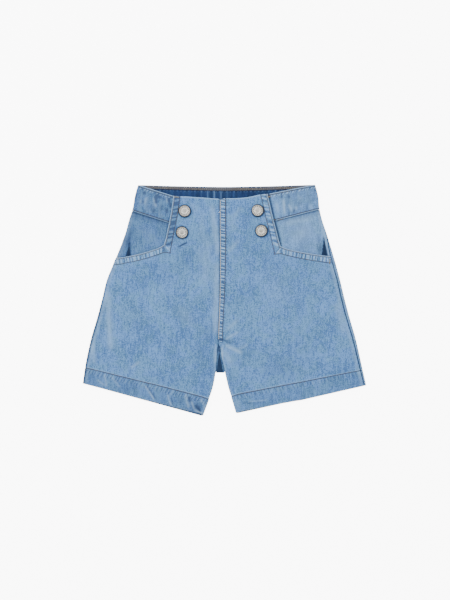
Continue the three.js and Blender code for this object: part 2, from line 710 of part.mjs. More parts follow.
function buttonPlace({ x, y, side }) {
  const surface = (px, py) => lie(px, py) + lift(side, px, py) + CLOTH / 2;
  const reach = NECK_RADIUS;
  const slopeX = (surface(x + reach, y) - surface(x - reach, y)) / (2 * reach);
  const slopeY = (surface(x, y + reach) - surface(x, y - reach)) / (2 * reach);
  const up = new THREE.Vector3(-slopeX, -slopeY, 1).normalize();
  const turn = new THREE.Quaternion().setFromUnitVectors(new THREE.Vector3(0, 0, 1), up);
  return { position: new THREE.Vector3(x, y, surface(x, y)).addScaledVector(up, SEAM_GAP + 0.15), turn };
}

// Colours from the photograph: faded blue denim, the darker inside, and pale metal
const denim = new THREE.MeshStandardMaterial({ color: 0x7e9fbe, roughness: 0.92, metalness: 0 });
const denimInside = new THREE.MeshStandardMaterial({ color: 0x2c4f7d, roughness: 0.95, metalness: 0 });
const metal = new THREE.MeshStandardMaterial({ color: 0xaeaca4, roughness: 0.38, metalness: 0.9 });

const shorts = new THREE.Group();
const add = (name, geometry, material) => {
  const mesh = new THREE.Mesh(geometry, material);
  mesh.name = name;
  shorts.add(mesh);
  return mesh;
};

for (const [name, side] of Object.entries(HALVES)) {
  add("front_panel_" + name, frontPanel(side), denim);
  add("hip_piece_" + name, hipPiece(side), denim);
  add("back_panel_" + name, backPanel(side), denim);
}
add("waistband", waistband(), denim);
add("band_facing", bandFacing(), denimInside);
for (const button of BUTTONS) {
  const { position, turn } = buttonPlace(button);
  const mesh = add(button.name, buttonGeometry(), metal);
  mesh.position.copy(position);
  mesh.quaternion.copy(turn);
}

// Put the origin at the middle of the outline, on the table
const outline = new THREE.Box3().setFromObject(shorts);
const middleOfOutline = outline.getCenter(new THREE.Vector3());
shorts.position.set(-middleOfOutline.x, -middleOfOutline.y, -outline.min.z);

export default shorts;
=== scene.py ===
import bpy
import json
import math
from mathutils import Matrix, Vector

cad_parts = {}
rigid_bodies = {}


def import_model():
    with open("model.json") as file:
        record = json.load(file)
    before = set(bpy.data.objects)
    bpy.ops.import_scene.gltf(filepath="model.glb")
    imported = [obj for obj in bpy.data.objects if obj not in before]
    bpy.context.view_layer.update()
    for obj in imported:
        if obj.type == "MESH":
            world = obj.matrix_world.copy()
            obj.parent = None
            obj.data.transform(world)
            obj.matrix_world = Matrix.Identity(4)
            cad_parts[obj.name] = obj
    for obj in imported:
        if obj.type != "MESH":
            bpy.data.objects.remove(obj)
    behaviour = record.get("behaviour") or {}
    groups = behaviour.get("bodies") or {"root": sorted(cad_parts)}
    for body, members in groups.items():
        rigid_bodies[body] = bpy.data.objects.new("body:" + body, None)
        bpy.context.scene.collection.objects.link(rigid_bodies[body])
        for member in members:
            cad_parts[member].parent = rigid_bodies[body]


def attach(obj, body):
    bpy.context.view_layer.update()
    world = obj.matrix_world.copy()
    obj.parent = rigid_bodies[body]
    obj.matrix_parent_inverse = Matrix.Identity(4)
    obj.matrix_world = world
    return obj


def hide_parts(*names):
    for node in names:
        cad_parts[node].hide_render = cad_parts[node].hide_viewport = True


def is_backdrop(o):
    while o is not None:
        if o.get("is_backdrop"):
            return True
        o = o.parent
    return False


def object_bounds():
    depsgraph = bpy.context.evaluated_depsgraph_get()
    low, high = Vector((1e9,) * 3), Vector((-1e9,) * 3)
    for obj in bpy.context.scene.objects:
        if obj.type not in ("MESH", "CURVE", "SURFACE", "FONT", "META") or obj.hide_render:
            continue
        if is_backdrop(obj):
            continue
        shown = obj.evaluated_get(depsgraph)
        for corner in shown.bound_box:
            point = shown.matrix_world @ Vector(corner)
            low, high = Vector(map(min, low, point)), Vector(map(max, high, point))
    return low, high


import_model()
cad_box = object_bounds()
bpy.ops.object.select_all(action="DESELECT")


# Camera and light
# A long lens straight above the shorts, as in the photograph, with the waist at the top of the picture.
# The light is soft and even, a little stronger from the upper left. The white table is only for the picture.
MM = 0.001
PIXEL = 1.42 * MM
PICTURE_HEIGHT = 600 * PIXEL
PICTURE_CENTRE = (0.71 * MM, 0.3 * MM)
# The height of the front of the shorts, where the scale of the picture holds
FRONT_HEIGHT = 5 * MM
LENS = 85
SENSOR = 36
ROOM_LIGHT = 0.88
TABLE_GLOW = 8.0
LAMPS = [
    {"name": "key", "at": (-0.9, 0.75, 1.15), "size": 0.9, "watts": 15.5},
    {"name": "fill", "at": (1.1, 0.2, 1.3), "size": 1.4, "watts": 7},
    {"name": "top", "at": (0.0, 0.3, 2.6), "size": 1.6, "watts": 22.5},
]


# A new material, with the plain values of its shader set
def new_material(name, values):
    material = bpy.data.materials.new(name)
    material.use_nodes = True
    shader = material.node_tree.nodes["Principled BSDF"]
    for title, amount in values.items():
        shader.inputs[title].default_value = amount
    return material, material.node_tree, shader


bpy.ops.object.camera_add(rotation=(0, 0, 0))
camera = bpy.context.object
camera.name = "camera"
camera.data.lens = LENS
camera.data.sensor_width = SENSOR
camera.location = (*PICTURE_CENTRE, PICTURE_HEIGHT * LENS / SENSOR + FRONT_HEIGHT)
camera.data.clip_start = 0.05
camera.data.clip_end = 50
bpy.context.scene.camera = camera

for lamp in LAMPS:
    bpy.ops.object.light_add(type="AREA", location=lamp["at"])
    light = bpy.context.object
    light.name = "light_" + lamp["name"]
    light.data.shape = "DISK"
    light.data.size = lamp["size"]
    light.data.energy = lamp["watts"]
    light.rotation_mode = "QUATERNION"
    light.rotation_quaternion = (-Vector(lamp["at"])).to_track_quat("-Z", "Y")

world = bpy.data.worlds.new("soft_room")
world.use_nodes = True
background = world.node_tree.nodes["Background"]
background.inputs["Color"].default_value = (1.0, 1.0, 1.0, 1)
background.inputs["Strength"].default_value = ROOM_LIGHT
bpy.context.scene.world = world

bpy.ops.mesh.primitive_plane_add(size=8, location=(0, 0, -0.4 * MM))
floor = bpy.context.object
floor.name = "floor"
floor_values = {"Base Color": (0.93, 0.93, 0.93, 1), "Roughness": 0.9, "Specular IOR Level": 0.1}
floor_paint, floor_tree, floor_shader = new_material("floor_paint", floor_values)
seen_directly = floor_tree.nodes.new("ShaderNodeLightPath").outputs["Is Camera Ray"]
floor_tree.links.new(seen_directly, floor_shader.inputs["Emission Color"])
floor_shader.inputs["Emission Strength"].default_value = TABLE_GLOW
floor.data.materials.append(floor_paint)
floor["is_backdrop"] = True


# Back panels
# The seat of the shorts: two panels of faded denim that lie face down on the table. They roll round the sides
# to the side seams, fold up between the legs, and are joined down the middle by a seat seam with two rows of
# stitches.
CLOTH = 1.2
# How far up the shorts the shapes are moved, so that their middle is on the part's origin
ORIGIN_Y = 1.055
SEAM_GAP = 0.3
HALF_GAP = SEAM_GAP / 2
SIDE_GAP = 0.8
LAYER_GAP = 0.5
BACK_Z = CLOTH / 2
LEG_Z = 4.0
WAIST_Z = 4.8
HEM_RAISE = 0.7
SEAT_FOLD_Y = -104.3
SEAT_FOLD_RADIUS = 1.1
# Cloth above this height shows from above
SHOWS_ABOVE = 1.5
# A distance from a seam that is nowhere near it
FAR_OFF = 40.0
# The gap between the legs below the crotch, painted as deep shadow: both ends, both half widths and how dark
# it is inside
CROTCH_GAP = [(-7.6, -75.5, -6.4, -104, 0.4, 5.4, 0.95)]


def clamp01(t):
    return min(1.0, max(0.0, t))


def mix(a, b, t):
    return a + (b - a) * t


def ease(a, b, value):
    t = clamp01((value - a) / (b - a))
    return t * t * (3 - 2 * t)


# How much is left of 1 at a distance from the middle of a bell-shaped ridge
def bell(away, width):
    return math.exp(-((away / width) ** 2))


def spaced(start, end, count):
    return [mix(start, end, (i + 1) / (count + 1)) for i in range(count)]


# A smooth line down the shorts through (y, x) places, from the waist down. It gives x at a height y.
def smooth_line(*places):
    last = len(places) - 1
    slopes = []
    for i in range(last + 1):
        above = places[max(i - 1, 0)]
        below = places[min(i + 1, last)]
        slopes.append((below[1] - above[1]) / (below[0] - above[0]))

    def x_at(y):
        if y >= places[0][0]:
            return places[0][1] + slopes[0] * (y - places[0][0])
        if y <= places[last][0]:
            return places[last][1] + slopes[last] * (y - places[last][0])
        i = next(k for k in range(last + 1) if places[k][0] < y) - 1
        step = places[i + 1][0] - places[i][0]
        t = (y - places[i][0]) / step
        chord = (places[i + 1][1] - places[i][1]) / step
        bend = t * (1 - t) * step
        straight = mix(places[i][1], places[i + 1][1], t)
        return straight + bend * ((1 - t) * (slopes[i] - chord) - t * (slopes[i + 1] - chord))

    return x_at


# Heights of a line across the shorts: at the centre seam, the pocket line, the side seam and the back
def line_across(seam, pocket, side, back=None, sag=0, dip=0):
    return {"seam": seam, "pocket": pocket, "side": side, "back": back, "sag": sag, "dip": dip}


centre_seam = smooth_line((143, -7.4), (12, -7.2), (-60, -9.2), (-104, -7.2))

LEFT = {
    "out": -1,
    "side": smooth_line(
        (162.8, -123), (147, -127.4), (130, -130.4), (112, -136.2), (94, -141.2), (62, -153.4), (28, -167.2),
        (3, -173.4), (-23, -180.2), (-57, -190), (-91, -197.4), (-119.3, -201.6),
    ),
    "pocket_line": smooth_line((147, -72.4), (118, -76.8), (78, -84.6), (0, -92), (-142, -114)),
    "inner_leg": smooth_line(
        (-60, -9.8), (-75, -10.2), (-104, -12.4), (-125, -16.4), (-142, -22), (-164.7, -30.5)
    ),
    "side_seam": smooth_line((126, 0), (60, 0.4), (0, 1.6), (-120, 1.2)),
    "waist": line_across(143, 147, 162.8, back=160.2, dip=-0.3),
    "band_foot": line_across(100, 108.4, 125.6, back=124.6),
    "pocket_edge": line_across(64, 76.5, 58.8, sag=-2.6),
    "hem_stitch": line_across(-142, -118.5, -96.6),
    "hem_edge": line_across(-164.7, -142.5, -119.3),
    "pocket_shadow": {"dark": 0.3, "away": 0.9, "reach": 1.3},
    "band_shade": 0.24,
    "hip_shade": 0.36,
    "hem_shade": 0.24,
}
RIGHT = {
    "out": 1,
    "side": smooth_line(
        (163.2, 129), (147, 133.2), (130, 135), (112, 139.4), (94, 145.2), (62, 155), (28, 164.4),
        (3, 170.4), (-23, 177.2), (-57, 187), (-91, 194.6), (-122, 201.6),
    ),
    "pocket_line": smooth_line((149.7, 60.8), (118, 68.2), (76, 78.2), (0, 88), (-143, 110)),
    "inner_leg": smooth_line(
        (-60, -8.6), (-66, -5.2), (-76, -5.2), (-103, 0.2), (-125, 5.2), (-142, 10.7), (-161, 16.3)
    ),
    "side_seam": smooth_line((126, 0), (92, 1.2), (62, 4.8), (30, 4.8), (-40, 5), (-120, 3.4)),
    "waist": line_across(142.6, 149.7, 163.2, back=160.2, dip=1.6),
    "band_foot": line_across(102, 111, 128, back=124.6),
    "pocket_edge": line_across(64, 74.5, 61, sag=-1.8),
    "hem_stitch": line_across(-138.2, -118, -100.1),
    "hem_edge": line_across(-161, -143, -122),
    "pocket_shadow": {"dark": 0.9, "away": 1.8, "reach": 1.7},
    "band_shade": -0.16,
    "hip_shade": -0.2,
    "hem_shade": 0.12,
}

# The large soft folds, each from one end to the other, with its width and its rise or fall
FOLDS = [
    (-166, 12, -158, -76, 6, 0.8), (-182, -40, -184, -90, 5, 0.5), (-24, 92, -30, 8, 9, 0.8),
    (-16, -20, -40, -84, 10, 0.7), (-40, -96, -52, -36, 9, -0.6), (-146, -96, -118, -84, 4, 0.5),
    (-110, 40, -124, -30, 14, -0.6), (-4, -72, 22, -96, 8, 0.6), (6, -62, 44, -78, 6, 0.7),
    (20, 46, 40, -40, 16, -0.5), (26, 110, 8, 50, 10, 0.5), (150, -2, 166, -66, 8, 0.7),
    (120, 34, 112, -60, 18, 0.5), (-143, 84, -146, 62, 4, -1.0), (141, 88, 146, 64, 4.5, -1.2),
    (130, 92, 132, 66, 3.5, 0.5),
]


# How long a line is, and how far along it and across from it a place lies
def along_line(x, y, to_x, to_y, px, py):
    length = math.hypot(to_x - x, to_y - y)
    along = ((px - x) * (to_x - x) + (py - y) * (to_y - y)) / length
    across = ((px - x) * (to_y - y) - (py - y) * (to_x - x)) / length
    return length, along, across


def fold_rise(fold, px, py):
    x, y, to_x, to_y, width, rise = fold
    if px < min(x, to_x) - 3 * width or px > max(x, to_x) + 3 * width:
        return 0.0
    length, along, across = along_line(x, y, to_x, to_y, px, py)
    if along < -width or along > length + width or abs(across) > 3 * width:
        return 0.0
    ends = ease(-width, width * 2, along) * ease(-width, width * 2, length - along)
    return rise * ends * bell(across, width)


# Deep shadow where layers part: wedges from one end to the other, with both half widths and how dark each is
def wedge_dark(wedges, point):
    darkest = 0.0
    for x, y, to_x, to_y, start, end, amount in wedges:
        length, along, across = along_line(x, y, to_x, to_y, point.x, point.y)
        if -1 < along < length + 1:
            half = mix(start, end, clamp01(along / length))
            darkest = max(darkest, amount * ease(half * 1.1 + 0.4, half * 0.75, abs(across)))
    return darkest


# The height of the middle of the cloth that lies over the back panels
def lie(x, y):
    return mix(LEG_Z, WAIST_Z, ease(70, 112, y)) + sum(fold_rise(fold, x, y) for fold in FOLDS)


def between(a, b, t):
    return {key: mix(a[key], b[key], t) for key in ("seam", "pocket", "side", "sag", "dip")}


def below(level, drop):
    lower = dict(level)
    for key in ("seam", "pocket", "side"):
        lower[key] = level[key] - drop
    return lower


def crossing(across, y):
    return Vector((across(y), y, 0))


def square_to(across, y, towards):
    return Vector((1, across(y - 0.5) - across(y + 0.5), 0)).normalized() * towards


# A point of cloth that goes round an edge. "turned" is the distance along the cloth from the outermost
# point, positive on the upper side and negative on the side that lies on the table.
def round_edge(edge, y, into, thickness, top, bottom, turned):
    radius = (top - bottom) / 2
    angle = max(-math.pi / 2, min(math.pi / 2, turned / radius))
    flat_run = max(0.0, abs(turned) - radius * math.pi / 2)
    inward = thickness / 2 + radius * (1 - math.cos(angle)) + flat_run
    point = crossing(edge, y) + square_to(edge, y, into) * inward
    point.z = (top + bottom) / 2 + radius * math.sin(angle)
    return point


# A point on the side edge of a section. "course" gives the section's height at a distance from the edge.
def side_point(side, course, turned, from_seam=True, thickness=CLOTH, bottom=BACK_Z, raised=None):
    y = course(0)
    for attempt in range(3):
        edge_x = side["side"](y)
        top = lie(edge_x - side["out"] * 3, y)
        if raised:
            top += raised(edge_x - side["out"] * 2, y)
        seam = side["side_seam"](y) if from_seam else 0
        point = round_edge(side["side"], y, -side["out"], thickness, top, bottom, turned + seam)
        if attempt < 2:
            y += course(abs(point.x - edge_x)) - point.y
    return point


def course_to(x, start, end, sag=0):
    width = abs(x - end.x)

    def height(inward):
        share = inward / width
        return mix(start, end.y, share) + sag * 4 * share * (1 - share)

    return height


# The inner side of the cloth, which shows only in openings, is painted as if in shade: how worn, shaded and
# dark it is
UNWASHED = (0.1, 0.35, 0.3)


# A new piece of the scene from points in millimetres
def new_piece(name, points, faces, material):
    mesh = bpy.data.meshes.new(name)
    shift = Vector((0, ORIGIN_Y, 0))
    mesh.from_pydata([tuple((p + shift) * MM) for p in points], [], faces)
    mesh.materials.append(material)
    piece = bpy.data.objects.new(name, mesh)
    bpy.context.scene.collection.objects.link(piece)
    return piece


# A thin closed shell of cloth on patches of four-sided cells. Patches that share points are joined.
# Each point has a thickness outside and inside the middle of the cloth, and "marks" gives it named values.
class Cloth:
    def __init__(self, name, flip=False):
        self.name = name
        self.flip = flip
        self.ids = {}
        self.middle = []
        self.outside = []
        self.inside = []
        self.marks = []
        self.faces = []
        self.grids = []

    def add(self, rows, outside, inside, marks):
        grid = []
        for r, row in enumerate(rows):
            ids = []
            for c, point in enumerate(row):
                if point is None:
                    ids.append(-1)
                    continue
                key = tuple(round(v * 1000) for v in point)
                if key not in self.ids:
                    self.ids[key] = len(self.middle)
                    self.middle.append(point)
                    self.outside.append(outside(r, c, point))
                    self.inside.append(inside(r, c, point))
                    self.marks.append(marks(r, c, point))
                ids.append(self.ids[key])
            grid.append(ids)
        for upper, lower in zip(grid, grid[1:]):
            for c in range(len(upper) - 1):
                cell = [upper[c], upper[c + 1], lower[c + 1], lower[c]]
                if -1 in cell:
                    continue
                corners = [v for i, v in enumerate(cell) if v != cell[i - 1]]
                if self.flip:
                    corners.reverse()
                if len(corners) > 2:
                    self.faces.append(corners)
        self.grids.append(grid)

    def finish(self, material):
        self.normals = [Vector() for _ in self.middle]
        for face in self.faces:
            for i in range(2, len(face)):
                corners = (face[0], face[i - 1], face[i])
                a, b, c = (self.middle[v] for v in corners)
                square = (b - a).cross(c - a)
                for v in corners:
                    self.normals[v] += square
        for normal in self.normals:
            normal.normalize()
        self.outer = [p + n * o for p, n, o in zip(self.middle, self.normals, self.outside)]
        inner = [p - n * i for p, n, i in zip(self.middle, self.normals, self.inside)]
        count = len(self.middle)
        edges = set()
        faces = []
        for face in self.faces:
            faces.append(face)
            faces.append([v + count for v in reversed(face)])
            edges.update((face[i - 1], face[i]) for i in range(len(face)))
        for a, b in edges:
            if (b, a) not in edges:
                faces.append([b, a, a + count, b + count])
        piece = new_piece(self.name, self.outer + inner, faces, material)
        for mark in self.marks[0]:
            layer = piece.data.attributes.new(mark, "FLOAT_VECTOR", "POINT")
            values = [part for place in self.marks for part in place[mark]]
            # Points on the inner side get this painted shade in place of their own marks
            hidden = list(UNWASHED) * count if mark == "wear" else values
            layer.data.foreach_set("vector", values + hidden)
        piece.data.validate()
        bpy.ops.object.select_all(action="DESELECT")
        piece.select_set(True)
        bpy.context.view_layer.objects.active = piece
        bpy.ops.object.shade_smooth_by_angle(angle=math.radians(60))
        piece.select_set(False)
        return piece

    # The outer points and their normals along a list of (patch, row, column) places
    def path(self, places):
        found = [self.grids[patch][r][c] for patch, r, c in places]
        return [(self.outer[v], self.normals[v]) for v in found if v >= 0]


# Shader building: a node with its inputs, each a plain value or one from another node
def node(tree, kind, inputs=None, **settings):
    made = tree.nodes.new("ShaderNode" + kind)
    for key, setting in settings.items():
        setattr(made, key, setting)
    for key, fed in (inputs or {}).items():
        feed(made.inputs[key], fed)
    return made


def feed(socket, fed):
    if isinstance(fed, Value):
        socket.id_data.links.new(fed.socket, socket)
    else:
        socket.default_value = fed


def value(tree, kind, inputs=None, output=0, **settings):
    return Value(node(tree, kind, inputs, **settings).outputs[output])


# A value of a shader. Sums and products of such values are worked out by the shader's own maths nodes.
class Value:
    def __init__(self, socket):
        self.socket = socket
        self.tree = socket.id_data

    def math(self, operation, other=0.0):
        return value(self.tree, "Math", {0: self, 1: other}, operation=operation)

    def __add__(self, other):
        return self.math("ADD", other)

    def __sub__(self, other):
        return self.math("SUBTRACT", other)

    def __mul__(self, other):
        return self.math("MULTIPLY", other)

    def __truediv__(self, other):
        return self.math("DIVIDE", other)

    def __abs__(self):
        return self.math("ABSOLUTE")

    def most(self, other):
        return self.math("MAXIMUM", other)

    def least(self, other):
        return self.math("MINIMUM", other)

    def eased(self, start, end, low=0.0, high=1.0):
        inputs = {"Value": self, "From Min": start, "From Max": end, "To Min": low, "To Max": high}
        return value(self.tree, "MapRange", inputs, output="Result", interpolation_type="SMOOTHSTEP")

    def parts(self):
        return [Value(part) for part in node(self.tree, "SeparateXYZ", {0: self}).outputs]


def blended(amount, first, second, blend="MIX"):
    inputs = {0: amount, 6: first, 7: second}
    return value(amount.tree, "Mix", inputs, output=2, data_type="RGBA", blend_type=blend)


def noise(place, scale, detail=2.0, roughness=0.5):
    inputs = {"Vector": place, "Scale": scale, "Detail": detail, "Roughness": roughness}
    return value(place.tree, "TexNoise", inputs)


def mark_of(tree, mark, output="Vector"):
    return value(tree, "Attribute", output=output, attribute_name=mark)


def place_on(tree):
    return value(tree, "TexCoord", output="Object")


def new_group(name, inputs, outputs):
    group = bpy.data.node_groups.new(name, "ShaderNodeTree")
    for title, kind, usual in inputs:
        socket = group.interface.new_socket(title, in_out="INPUT", socket_type="NodeSocket" + kind)
        if usual is not None:
            socket.default_value = usual
    for title, kind in outputs:
        group.interface.new_socket(title, in_out="OUTPUT", socket_type="NodeSocket" + kind)
    given = group.nodes.new("NodeGroupInput").outputs
    result = group.nodes.new("NodeGroupOutput").inputs
    return group, {title: Value(given[title]) for title, kind, usual in inputs}, result


PALE_BLUE = (0.13, 0.291, 0.605, 1)
DEEP_BLUE = (0.05, 0.133, 0.325, 1)
WORN_BLUE = (0.27, 0.45, 0.7, 1)
BLEACHED = (0.52, 0.63, 0.76, 1)
SEA_TINT = (1.02, 1.05, 0.86, 1)
# Painted shade and painted deep shadow, blended over the cloth's own colour
SHADED_BLUE = (0.03, 0.06, 0.14, 1)
INDIGO = (0.003, 0.017, 0.056, 1)
# The slope of the fine diagonal ribs of the cloth
TWILL_ANGLE = math.radians(62)


# Washed denim: a fine diagonal twill, uneven warp threads that run up and down, and cloudy fading
def make_denim_group():
    group, given, result = new_group(
        "washed_denim",
        [
            ("Place", "Vector", None), ("Pale", "Color", PALE_BLUE), ("Deep", "Color", DEEP_BLUE),
            ("Tint", "Color", SEA_TINT), ("Clouds", "Float", 0.5), ("Threads", "Float", 0.5),
        ],
        [("Color", "Color"), ("Height", "Float")],
    )
    place = given["Place"]

    def grain(scale, detail):
        return noise(value(group, "Mapping", {"Vector": place, "Scale": scale}), 1.0, detail, 0.6)

    streaks = grain((720, 130, 300), 4.0)
    specks = grain((820, 740, 780), 3.0)
    weft = grain((160, 760, 300), 2.0)
    turned = value(group, "Mapping", {"Vector": place, "Rotation": (0, 0, TWILL_ANGLE)})
    twill_inputs = {"Vector": turned, "Scale": 420.0, "Distortion": 0.6, "Detail": 2.0, "Detail Scale": 3.0}
    twill = value(group, "TexWave", twill_inputs, output="Fac")
    threads = streaks * 0.3 + specks * 0.58 + weft * 0.12
    threads = (threads.eased(0.32, 0.68) - 0.5) * given["Threads"]
    slubs = grain((300, 34, 200), 1.0).eased(0.34, 0.66) - 0.5
    cloudy = noise(place, 24.0, 2.0, 0.4).eased(0.34, 0.66) - 0.5
    cloudy = (cloudy + slubs * 0.7) * given["Clouds"]
    color = blended(threads + cloudy + (twill * 0.3 + 0.35), given["Deep"], given["Pale"])
    tinted = noise(place, 70.0, 1.0).eased(0.4, 0.6, 0.0, 0.6)
    feed(result["Color"], blended(tinted, color, given["Tint"], "MULTIPLY"))
    feed(result["Height"], streaks + twill * 0.5)
    return group


# Small uneven pleats stand across the strip beside a sewn edge, a little aslant. Their spacing drifts by two
# waves, each with a pace, a start and a reach.
PLEAT_DRIFT = [(0.31, 0.7, 1.3), (0.77, 2.1, 0.9)]
PLEAT_SKEW = 0.15
# A place for a row of stitches or a ridge that a seam doesn't have
OFF = 900.0


def pleat(along, away, spacing, skew):
    slid = along + away * skew
    turn = 2 * math.pi * slid / spacing
    for pace, start, reach in PLEAT_DRIFT:
        turn += reach * math.sin(pace * slid + start)
    return 0.5 + 0.5 * math.sin(turn)


# The strip beside a sewn edge. Place holds the distance along the seam and away from it, in millimetres, and
# whether the seam is there. The folded edge, the ridge beside a row and the tops of the pleats are worn pale;
# the dips and the stitch rows are darker, as unfaded cloth with painted shade in the dips and grooves.
def make_seam_group():
    group, given, result = new_group(
        "puckered_seam",
        [
            ("Place", "Vector", None), ("Near", "Float", 1.2), ("Far", "Float", 10.2),
            ("First Row", "Float", OFF), ("Second Row", "Float", OFF), ("Spacing", "Float", 5.0),
            ("Skew", "Float", PLEAT_SKEW), ("Edge Wear", "Float", 0.0), ("Crest", "Float", 0.45),
            ("Dip", "Float", 0.32), ("Ridge", "Float", OFF),
        ],
        [("Worn", "Float"), ("Shaded", "Float"), ("Height", "Float")],
    )
    along, away, on = given["Place"].parts()
    strip = (away - given["Near"]).eased(-0.5, 0.7) * (given["Far"] - away).eased(-0.6, 1.0) * on
    slid = along + away * given["Skew"]
    turn = slid / given["Spacing"] * (2 * math.pi)
    for pace, start, reach in PLEAT_DRIFT:
        turn = turn + (slid * pace + start).math("SINE") * reach
    wave = turn.math("SINE") * 0.5 + 0.5
    ragged = noise(value(group, "CombineXYZ", {0: along, 1: away}), 0.42, 3.0, 0.6)
    tops = wave.eased(given["Crest"], given["Crest"] + 0.4) * strip * ragged.eased(0.34, 0.6, 0.3, 1.0)
    dips = wave.eased(given["Dip"], given["Dip"] - 0.28) * strip * ragged.eased(0.62, 0.36, 0.35, 1.0)
    edge = abs(away).eased(1.5, 0.3) * given["Edge Wear"]
    ridge = abs(away - given["Ridge"]).eased(1.3, 0.2) * 0.5
    edge = edge.most(ridge) * ragged.eased(0.3, 0.55, 0.5, 1.0)
    first, second = (abs(away - given[row]).eased(1.1, 0.35) * on for row in ("First Row", "Second Row"))
    groove = first.most(second)
    feed(result["Worn"], tops.most(edge * on))
    feed(result["Shaded"], dips.most(groove * 0.95))
    feed(result["Height"], wave * strip - groove * 0.35)
    return group


washed_denim = make_denim_group()
puckered_seam = make_seam_group()


# One sewn line for a denim material: the mark that holds its places, its strength, and its own sizes
def sewn(mark, strength=1.0, **sizes):
    named = {key.replace("_", " ").title(): size for key, size in sizes.items()}
    return {"mark": mark, "strength": strength, "sizes": named}


def denim_material(name, seams, clouds=0.4, threads=2.5):
    values = {"Roughness": 0.88, "Specular IOR Level": 0.18, "Sheen Weight": 0.12, "Sheen Roughness": 0.6}
    material, tree, shader = new_material(name, values)
    inputs = {"Place": place_on(tree), "Clouds": clouds, "Threads": threads}
    cloth = node(tree, "Group", inputs, node_tree=washed_denim).outputs
    # The mark holds how worn the cloth is, its painted shade, and its painted deep shadow
    worn, shaded, dark = mark_of(tree, "wear").parts()
    height = Value(cloth["Height"]) * 0.1
    for seam in seams:
        inputs = {"Place": mark_of(tree, seam["mark"]), **seam["sizes"]}
        strip = node(tree, "Group", inputs, node_tree=puckered_seam).outputs
        worn = worn + Value(strip["Worn"]) * seam["strength"]
        shaded = shaded + Value(strip["Shaded"]) * seam["strength"]
        height = height + Value(strip["Height"]) * (0.4 * seam["strength"])
    color = blended(worn.most(0.0).least(0.9), Value(cloth["Color"]), WORN_BLUE)
    color = blended(worn.eased(0.85, 1.5, 0.0, 0.8), color, BLEACHED)
    color = blended(shaded.most(0.0).least(0.88), color, SHADED_BLUE)
    # The third part of the mark paints deep shadow
    feed(shader.inputs["Base Color"], blended(dark, color, INDIGO))
    bump = value(tree, "Bump", {"Strength": 0.6, "Distance": 0.0011, "Height": height})
    feed(shader.inputs["Normal"], bump)
    return material


